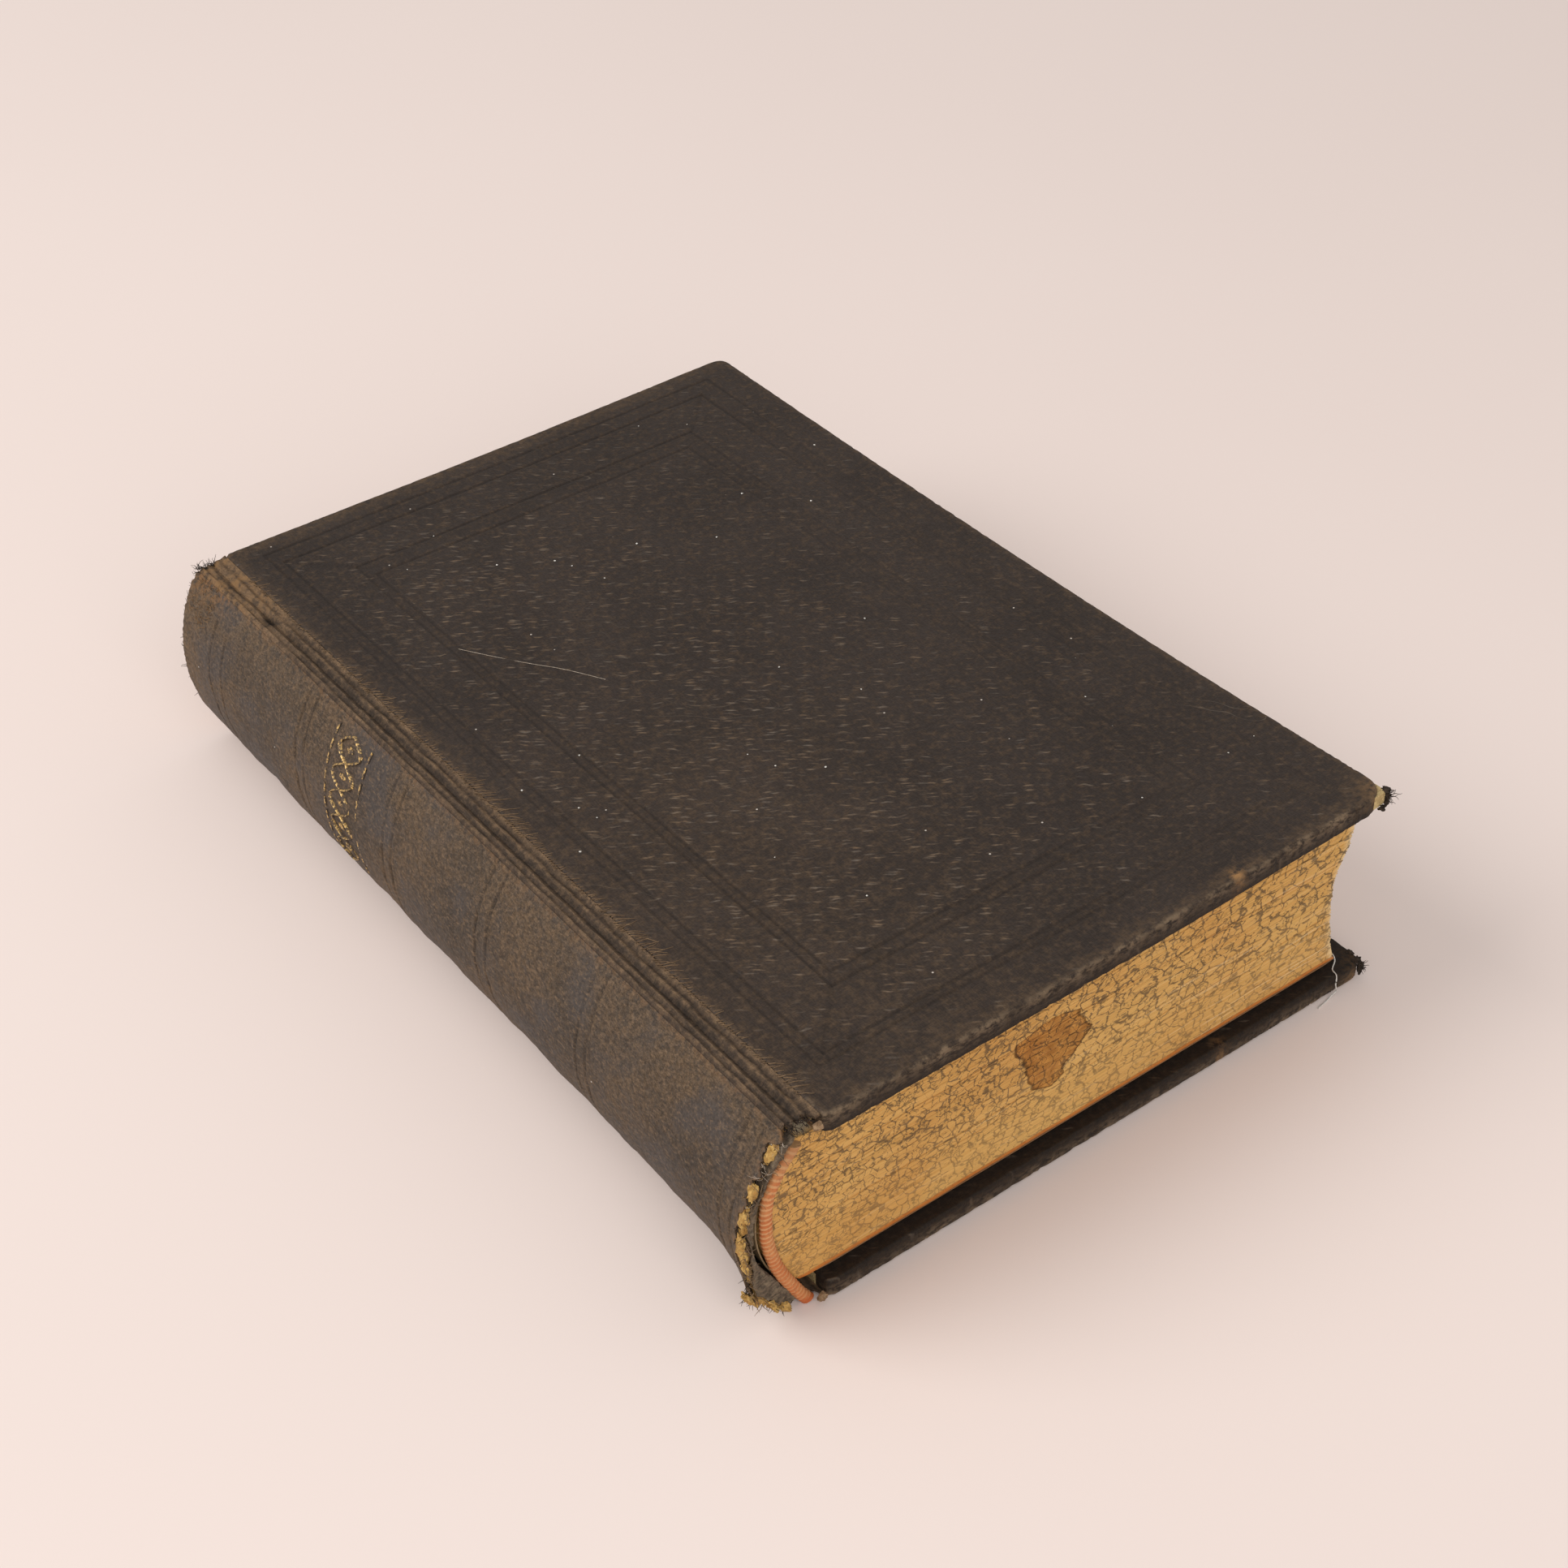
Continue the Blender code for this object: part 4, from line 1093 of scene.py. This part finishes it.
def back_x(z, inset=0.0):
    """The block's rounded back at height z."""
    radius = BLOCK_RADIUS + inset
    return BLOCK_CENTRE_X - np.sqrt(np.clip(radius ** 2 - (z - BLOCK_MIDDLE) ** 2, 0, None))


def stain_at(x, z):
    """The stain on the tail edge: broad at its top, a narrow tongue below."""
    centre = STAIN_AT + 0.9 * np.sin(z * 0.7)
    ragged = 0.35 * np.sin(x * 0.9 + z * 1.3) + 0.2 * np.sin(z * 2.9)
    return smooth(1.1, -1.1, np.abs(x - centre) - profile(z, STAIN_PROFILE) + ragged)


def leaf_loop(height, row, xs, ys, ragged):
    """One leaf's tail, fore edge, head and back; ragged is how far it sticks out on the first three."""
    tail_out, fore_out, head_out = ragged

    def wander(line, length, seed):
        return waves(grid(line, line * 0 + height * 3), length, seed)

    start = float(back_x(np.clip(height, BLOCK_LOW + 0.02, BLOCK_HIGH - 0.02)))
    fore = float(profile(height, FORE_PROFILE)) + fore_out
    x_line = start + (fore - start) * xs
    tail = TAIL_Y + tail_out + 0.05 * wander(x_line, 9.0, 91)
    head = HEAD_Y + head_out + 0.05 * wander(x_line, 9.0, 92)
    tail[0], head[0] = TAIL_Y + 0.2, HEAD_Y - 0.2
    y_line = tail[-1] + (head[-1] - tail[-1]) * ys
    fore_x = fore + 0.10 * wander(y_line, 14.0, 93)
    fore_x[0] = fore
    y_back = head[0] + (tail[0] - head[0]) * ys[:-1]
    bulge = 0.25 * np.sin(np.linspace(0, math.pi, PAGE_ROWS + 1))[row]
    return [
        grid(x_line[:-1], tail[:-1], height),
        grid(fore_x[:-1], y_line[:-1], height),
        grid(x_line[:0:-1], head[:0:-1], height),
        grid(start - bulge, y_back, height),
    ]


def gathering_piece(index):
    """One gathering as a closed stack of leaves, its edges ridged leaf by leaf, with its low and high Z."""
    z_low = BLOCK_HIGH - PITCH * index + 0.002
    z_high = BLOCK_HIGH - PITCH * (index - 1) - 0.002
    ys = np.linspace(0.0, 1.0, 81)
    # Closer places across the stain keep its outline crisp.
    xs = refined(0.0, 100.0, 1.4, (STAIN_AT,), np.arange(-9.0, 9.1, 0.45)) / 100.0
    rng = np.random.default_rng(100 + index)
    ragged = [rng.normal(0, spread, PAGE_ROWS + 1) for spread in (0.055, 0.09, 0.055)]
    loops = []
    fore = []
    stain = []
    for row, height in enumerate(np.linspace(z_low, z_high, PAGE_ROWS + 1)):
        runs = leaf_loop(height, row, xs, ys, [out[row] for out in ragged])
        loops.append(np.concatenate(runs))
        for side, run in enumerate(runs):
            fore.append(np.full(len(run), float(side == 1)))
            stain.append(stain_at(run[:, 0], height) if side == 0 else np.zeros(len(run)))
    count = len(loops[0])
    first = count * len(loops)
    last = first - count
    faces = ring_quads(PAGE_ROWS + 1, count)
    caps = []
    for rim in (loops[-1], loops[0]):
        inner = rim.copy()
        inner[:, :2] = np.clip(rim[:, :2], rim[:, :2].min(0) + CAP_INSET, rim[:, :2].max(0) - CAP_INSET)
        caps.append(inner)
    for j in range(count):
        k = (j + 1) % count
        faces.append([last + j, last + k, first + k, first + j])
        faces.append([first + count + j, first + count + k, k, j])
    faces.append(list(range(first, first + count)))
    faces.append(list(range(first + count, first + 2 * count))[::-1])
    plain = np.zeros(2 * count)
    values = {
        "fore": np.concatenate([*fore, plain]),
        "stain": np.concatenate([*stain, plain]),
        "leaf": np.repeat([0.0, 1.0], [first, 2 * count]),
    }
    return (np.concatenate([*loops, *caps]), faces, values), z_low, z_high


def back_strip(z_low, z_high, inset, thickness, y_low, y_high, seed, step=2.5):
    """A patch behind one gathering's back, following the round."""
    z, y = np.meshgrid(np.linspace(z_low, z_high, 6), refined(y_low, y_high, step), indexing="ij")
    ends = np.sin(np.linspace(0, math.pi, 6))[:, None]
    outer = back_x(z, inset + thickness) - 0.03 * waves(grid(z, y), 3.0, seed) * ends
    return shell(grid(back_x(z, inset), y, z), grid(outer, y, z))


def node_strips(nodes, z_low, z_high, inset, thickness, seed, step=2.5):
    """One gathering's lengths of the tapes or the stitches, as one shape."""
    spans = [(low[1], high[1]) for low, high in map(book_box, nodes)]
    return join([back_strip(z_low, z_high, inset, thickness, *span, seed, step) for span in spans])


def band_segment(z_low, z_high, y):
    """One gathering's length of headband: a flattened ribbed bead that follows the block's back."""
    steps = max(17, round((z_high - z_low) * 9))
    sides = 12
    z = np.linspace(z_low, z_high, steps)[:, None]
    slope = profile(z + 0.8, BAND_PROFILE) - profile(z - 0.8, BAND_PROFILE)
    lean = np.arctan2(-slope, 1.6)
    ribs = max(1, round((z_high - z_low) / RIB_PITCH))
    rib = 0.5 + 0.5 * np.cos(np.linspace(0, 2 * math.pi * ribs, steps))
    swell = 0.95 + 0.09 * rib[:, None]
    turn = np.linspace(0, 2 * math.pi, sides, endpoint=False)
    radial = np.cos(turn) * 1.02 * swell
    forward = np.sin(turn) * 0.72 * swell
    centre_x = profile(z, BAND_PROFILE)
    rings = grid(centre_x - radial * np.cos(lean), y + forward, z - radial * np.sin(lean) * 0.9)
    faces = ring_quads(steps, sides, 0, (1, 0, 3, 2))
    faces.append(list(range(sides)))
    faces.append([(steps - 1) * sides + j for j in range(sides)][::-1])
    faded = smooth(BLOCK_HIGH - 6.0, BLOCK_HIGH, z[:, 0]) * 0.5
    return rings.reshape(-1, 3), faces, {"rib": np.repeat(rib, sides), "faded": np.repeat(faded, sides)}


def make_block():
    """The gatherings, and behind each its length of tape, thread, mull, lining and headband."""
    tapes = [f"sewing_tape_{k}" for k in (1, 2, 3)]
    kettles = ["tail_kettle_stitch", "head_kettle_stitch"]
    mull_low, mull_high = book_box("mull")
    for index in range(1, GATHERINGS + 1):
        body = f"block_{index:02d}"
        part, z_low, z_high = gathering_piece(index)
        make_piece(f"leaves_{index:02d}", part, "edges", "page_edges", body, f"gathering_{index:02d}")
        mull = back_strip(z_low, z_high, 0.50, 0.18, mull_low[1], mull_high[1], index)
        lining = back_strip(z_low, z_high, 0.70, 0.22, TAIL_Y + 0.3, HEAD_Y - 0.3, index)
        taped = node_strips(tapes, z_low, z_high, 0.28, 0.22, index)
        stitched = node_strips(kettles, z_low, z_high, 0.26, 0.2, index, 0.3)
        # The tail band's cut end reaches down past the last gathering.
        band_low = 0.4 if index == GATHERINGS else z_low
        pieces = (
            ("tape_turns", taped, "tape", "thread", tapes),
            ("kettle_turns", stitched, "thread", "thread", kettles),
            ("mull_strip", mull, "mull", "mull", ["mull"]),
            ("lining_strip", lining, "lining", "endpaper", ["spine_lining"]),
            ("tail_band", band_segment(band_low, z_high, TAIL_Y - 0.6), "band", "headband", ["tail_band"]),
            ("head_band", band_segment(z_low, z_high, HEAD_Y + 0.55), "band", "headband", ["head_band"]),
        )
        for name, shape, look, slot, nodes in pieces:
            stands_for = nodes if index == LINED_GATHERING else ()
            make_piece(f"{name}_{index:02d}", shape, look, slot, body, *stands_for)


make_block()


# ---------------------------------------------------------------- what clings and hangs loose

# The torn cloth on each fore-tail corner, as lumps: X from the fore edge, Y, Z, size and seed. Z is counted
# from the top of the front cover, and from the middle of the back cover's thickness.
FRONT_FLAP = (
    (-0.1, 0.7, 1.0, (1.3, 1.3, 0.8), 87), (0.0, 0.6, -0.1, (0.8, 1.0, 1.7), 88),
    (0.0, 0.5, -1.2, (0.9, 0.9, 1.2), 86), (-1.2, 0.1, -1.5, (1.4, 0.8, 0.9), 89))
BACK_FLAP = (
    (-0.9, 0.7, COVER / 2 - 0.1, (1.5, 1.2, 0.8), 83), (-0.3, 0.3, 0.0, (1.0, 0.9, 2.2), 84),
    (-0.5, 2.6, COVER / 2 - 0.1, (1.2, 1.4, 0.7), 85))
# The loose thread's path from the back cover's fore-tail corner down to the table.
THREAD_PATH = (
    (105.2, 3.6, COVER + 0.5), (104.4, 2.4, COVER + 0.12), (103.0, 1.3, COVER + 0.12),
    (102.3, 0.2, COVER + 0.08), (102.3, -0.35, COVER - 0.7), (102.0, -0.45, 1.5),
    (102.0, -0.5, 0.6), (100.8, -0.6, 0.22), (99.4, -0.8, 0.16), (97.9, -1.1, 0.14))


def make_teeth(rng):
    """Fibres combed over the front cover's edge at the joint, along the grain."""
    teeth = []
    for y in np.arange(6.0, HEIGHT - 9.0, 0.55):
        start = (BOARD_SPINE_X + rng.uniform(-0.5, 0.4), y, TOP - 0.12)
        way = (GRAIN_WAY[0], GRAIN_WAY[1] + rng.normal(0, 0.16), 0.05)
        clustered = 0.45 + 0.75 * bump_at(math.sin(y * 0.16 + 1.0), 1.0, 0.9)
        reach = clustered * (1.0 - 0.45 * float(smooth(105.0, 125.0, y)))
        path, radii = strand(start, way, rng.uniform(1.0, 3.2) * reach, 0.18, int(y * 100), 0.10)
        path[:, 2] = TOP + 0.03 - 0.16 * smooth(0.9, 0.2, path[:, 0] - BOARD_SPINE_X)
        teeth.append((path, radii))
    frayed("front_joint_teeth", "brown_fray", "front_cover", "worn_cloth", teeth)


def make_joint_fray(rng):
    """Dark tufts in the front joint's ends."""
    tail = []
    for k in range(60):
        start = (rng.uniform(-2.2, 1.6), rng.uniform(1.6, 3.2), TOP - rng.uniform(0.7, 1.7))
        way = (rng.normal(0, 0.5), -1.0, rng.normal(0.1, 0.4))
        tail.append(strand(start, way, rng.uniform(0.6, 1.6), 1.2, 600 + k, 0.07))
    frayed("front_joint_tail_fray", "dark_fray", "block_01", "worn_cloth", tail)
    head = []
    for k in range(60):
        start = (rng.uniform(-2.6, 0.6), HEIGHT - rng.uniform(0.2, 1.2), TOP - rng.uniform(0.5, 1.6))
        way = (rng.normal(-0.2, 0.5), 1.0, rng.normal(0.25, 0.4))
        head.append(strand(start, way, rng.uniform(0.7, 2.0), 1.2, 1900 + k, 0.07))
    frayed("front_joint_head_fray", "dark_fray", "block_01", "worn_cloth", head)


def make_corner(side, flap, flap_z, corner, spread, way, lengths, bend, seed, count, rng):
    """The torn cloth and the tuft on one cover's fore-tail corner."""
    lumps = [lump((FORE_X + x, y, flap_z + z), size, lump_seed, 0.4) for x, y, z, size, lump_seed in flap]
    make_piece(f"{side}_corner_torn_cloth", join(lumps), "dark_fray", "worn_cloth", f"{side}_cover")
    tufts = []
    for k in range(count):
        start = corner + rng.normal(0, spread, 3)
        heading = (1.0, way[0], rng.normal(0, way[1]))
        tufts.append(strand(start, heading, rng.uniform(*lengths), bend, seed + k, 0.07))
    frayed(f"{side}_corner_fray", "dark_fray", f"{side}_cover", "worn_cloth", tufts)


def make_dust(rng):
    """Specks of dust on the front cover."""
    specks = []
    for k in range(30):
        x = rng.uniform(6, FORE_X - 4)
        y = rng.uniform(4, HEIGHT - 4)
        size = rng.uniform(0.14, 0.4)
        specks.append(lump((x, y, TOP + 0.05 + float(warp(x, y))), (size, size, size * 0.5), 300 + k))
    make_piece("cover_dust", join(specks), "thread", "thread", "front_cover")


def make_crumbs():
    """A crumb at the tail end of each joint."""
    front = lump((1.6, 0.1, TOP - 0.9), (1.6, 1.1, 1.3), 95)
    back = lump((1.6, 0.1, 1.5), (1.4, 1.0, 1.3), 96)
    make_piece("front_joint_crumb", front, "tan_fray", "board", "front_cover")
    make_piece("back_joint_crumb", back, "tan_fray", "board", "back_cover")


def make_hair_and_thread():
    """A hair on the front cover, and a thread that hangs from the back cover's corner."""
    steps = 26
    t = np.linspace(0, 1, steps)
    hair = grid(
        19.7 + 15.2 * t + 1.2 * np.sin(t * 5.0),
        120.0 - 23.6 * t - 2.0 * np.sin(t * 5.4),
        TOP + 0.06)
    frayed("cover_hair", "pale_fray", "front_cover", "thread", [(hair, np.full(steps, 0.035))])
    steps = 46
    path = np.array(THREAD_PATH)
    along = np.linspace(0, len(path) - 1, steps)
    thread = grid(*(np.interp(along, range(len(path)), path[:, axis]) for axis in range(3)))
    thread[1:-1] = (thread[:-2] + 2 * thread[1:-1] + thread[2:]) / 4
    thread[:, 0] += 0.22 * np.sin(along * 2.6)
    frayed("loose_thread", "thread", "back_cover", "thread", lifted([(thread, np.full(steps, 0.10))]))


def make_loose():
    """Everything that clings: one run of random draws goes through all of it."""
    rng = np.random.default_rng(90)
    make_teeth(rng)
    make_joint_fray(rng)
    corner = np.array([FORE_X - 0.1, 0.6, TOP + 0.1])
    make_corner("front", FRONT_FLAP, TOP, corner, 0.45, (-0.75, 0.4), (0.7, 1.7), 0.8, 900, 34, rng)
    corner = np.array([FORE_X - 0.5, 0.6, COVER / 2 + 0.4])
    make_corner("back", BACK_FLAP, COVER / 2, corner, 0.4, (-0.8, 0.2), (0.6, 1.4), 0.7, 950, 30, rng)
    make_crumbs()
    make_hair_and_thread()
    make_dust(rng)


make_loose()


# ---------------------------------------------------------------- stage, light and camera

FLOOR_HALF = 3.0
WORLD_COLOUR = (1.0, 0.985, 0.975, 1.0)
WORLD_STRENGTH = 0.53
LIGHT_TARGET = (0.0, 0.0, 0.02)
VIEW_AZIMUTH = math.radians(-35.63)
VIEW_ELEVATION = math.radians(38.64)
VIEW_ROLL = math.radians(-1.913)
VIEW_DISTANCE = 0.4391
VIEW_TARGET = Vector((0.01637, 0.01056, 0.0))
VIEW_LENS = 57.95
SENSOR_WIDTH = 36.0


def make_stage():
    """A plain pale floor."""
    look = Look("floor", 0.9, 0.1)
    broad = look.noise(look.add("TexCoord").outputs["Object"], 3.0, 2.0)
    look.finish(look.mix(look.ramp(broad, 0.3, 0.7), (0.86, 0.735, 0.685), (0.875, 0.752, 0.703)))
    mesh = bpy.data.meshes.new("floor")
    corners = [(x * FLOOR_HALF, y * FLOOR_HALF, 0) for x, y in ((-1, -1), (1, -1), (1, 1), (-1, 1))]
    mesh.from_pydata(corners, [], [(0, 1, 2, 3)])
    mesh.materials.append(look.material)
    floor = bpy.data.objects.new("floor", mesh)
    bpy.context.scene.collection.objects.link(floor)


def aim(position, target, roll=0.0):
    """The matrix of a camera or light at position that looks at target."""
    back = (Vector(position) - Vector(target)).normalized()
    right = Vector((0, 0, 1)).cross(back).normalized()
    up = back.cross(right)
    turned_right = math.cos(roll) * right + math.sin(roll) * up
    turned_up = math.cos(roll) * up - math.sin(roll) * right
    matrix = Matrix((turned_right, turned_up, back)).transposed().to_4x4()
    matrix.translation = position
    return matrix


def make_light(name, position, size, power, colour):
    """A round area light that looks at the book."""
    light = bpy.data.lights.new(name, "AREA")
    light.shape = "DISK"
    light.size = size
    light.energy = power
    light.color = colour
    lamp = bpy.data.objects.new(name, light)
    lamp.matrix_world = aim(position, LIGHT_TARGET)
    bpy.context.scene.collection.objects.link(lamp)


def make_studio():
    """A soft even light, with a key from the spine's side and a front light."""
    world = bpy.data.worlds.new("studio")
    world.use_nodes = True
    background = world.node_tree.nodes["Background"]
    background.inputs["Color"].default_value = WORLD_COLOUR
    background.inputs["Strength"].default_value = WORLD_STRENGTH
    bpy.context.scene.world = world
    bpy.context.scene.view_settings.view_transform = "Standard"
    make_light("key", (-0.90, 0.50, 0.90), 1.0, 9.8, (1.0, 0.99, 0.97))
    make_light("front", (-0.45, -1.20, 0.85), 1.2, 8.4, (1.0, 0.985, 0.965))


def make_camera():
    """The photo's own viewpoint."""
    data = bpy.data.cameras.new("camera")
    data.lens = VIEW_LENS
    data.sensor_width = SENSOR_WIDTH
    camera = bpy.data.objects.new("camera", data)
    flat = math.cos(VIEW_ELEVATION)
    back = Vector((math.sin(VIEW_AZIMUTH) * flat, -math.cos(VIEW_AZIMUTH) * flat, math.sin(VIEW_ELEVATION)))
    camera.matrix_world = aim(VIEW_TARGET + back * VIEW_DISTANCE, VIEW_TARGET, VIEW_ROLL)
    bpy.context.scene.collection.objects.link(camera)
    bpy.context.scene.camera = camera


make_stage()
make_studio()
make_camera()
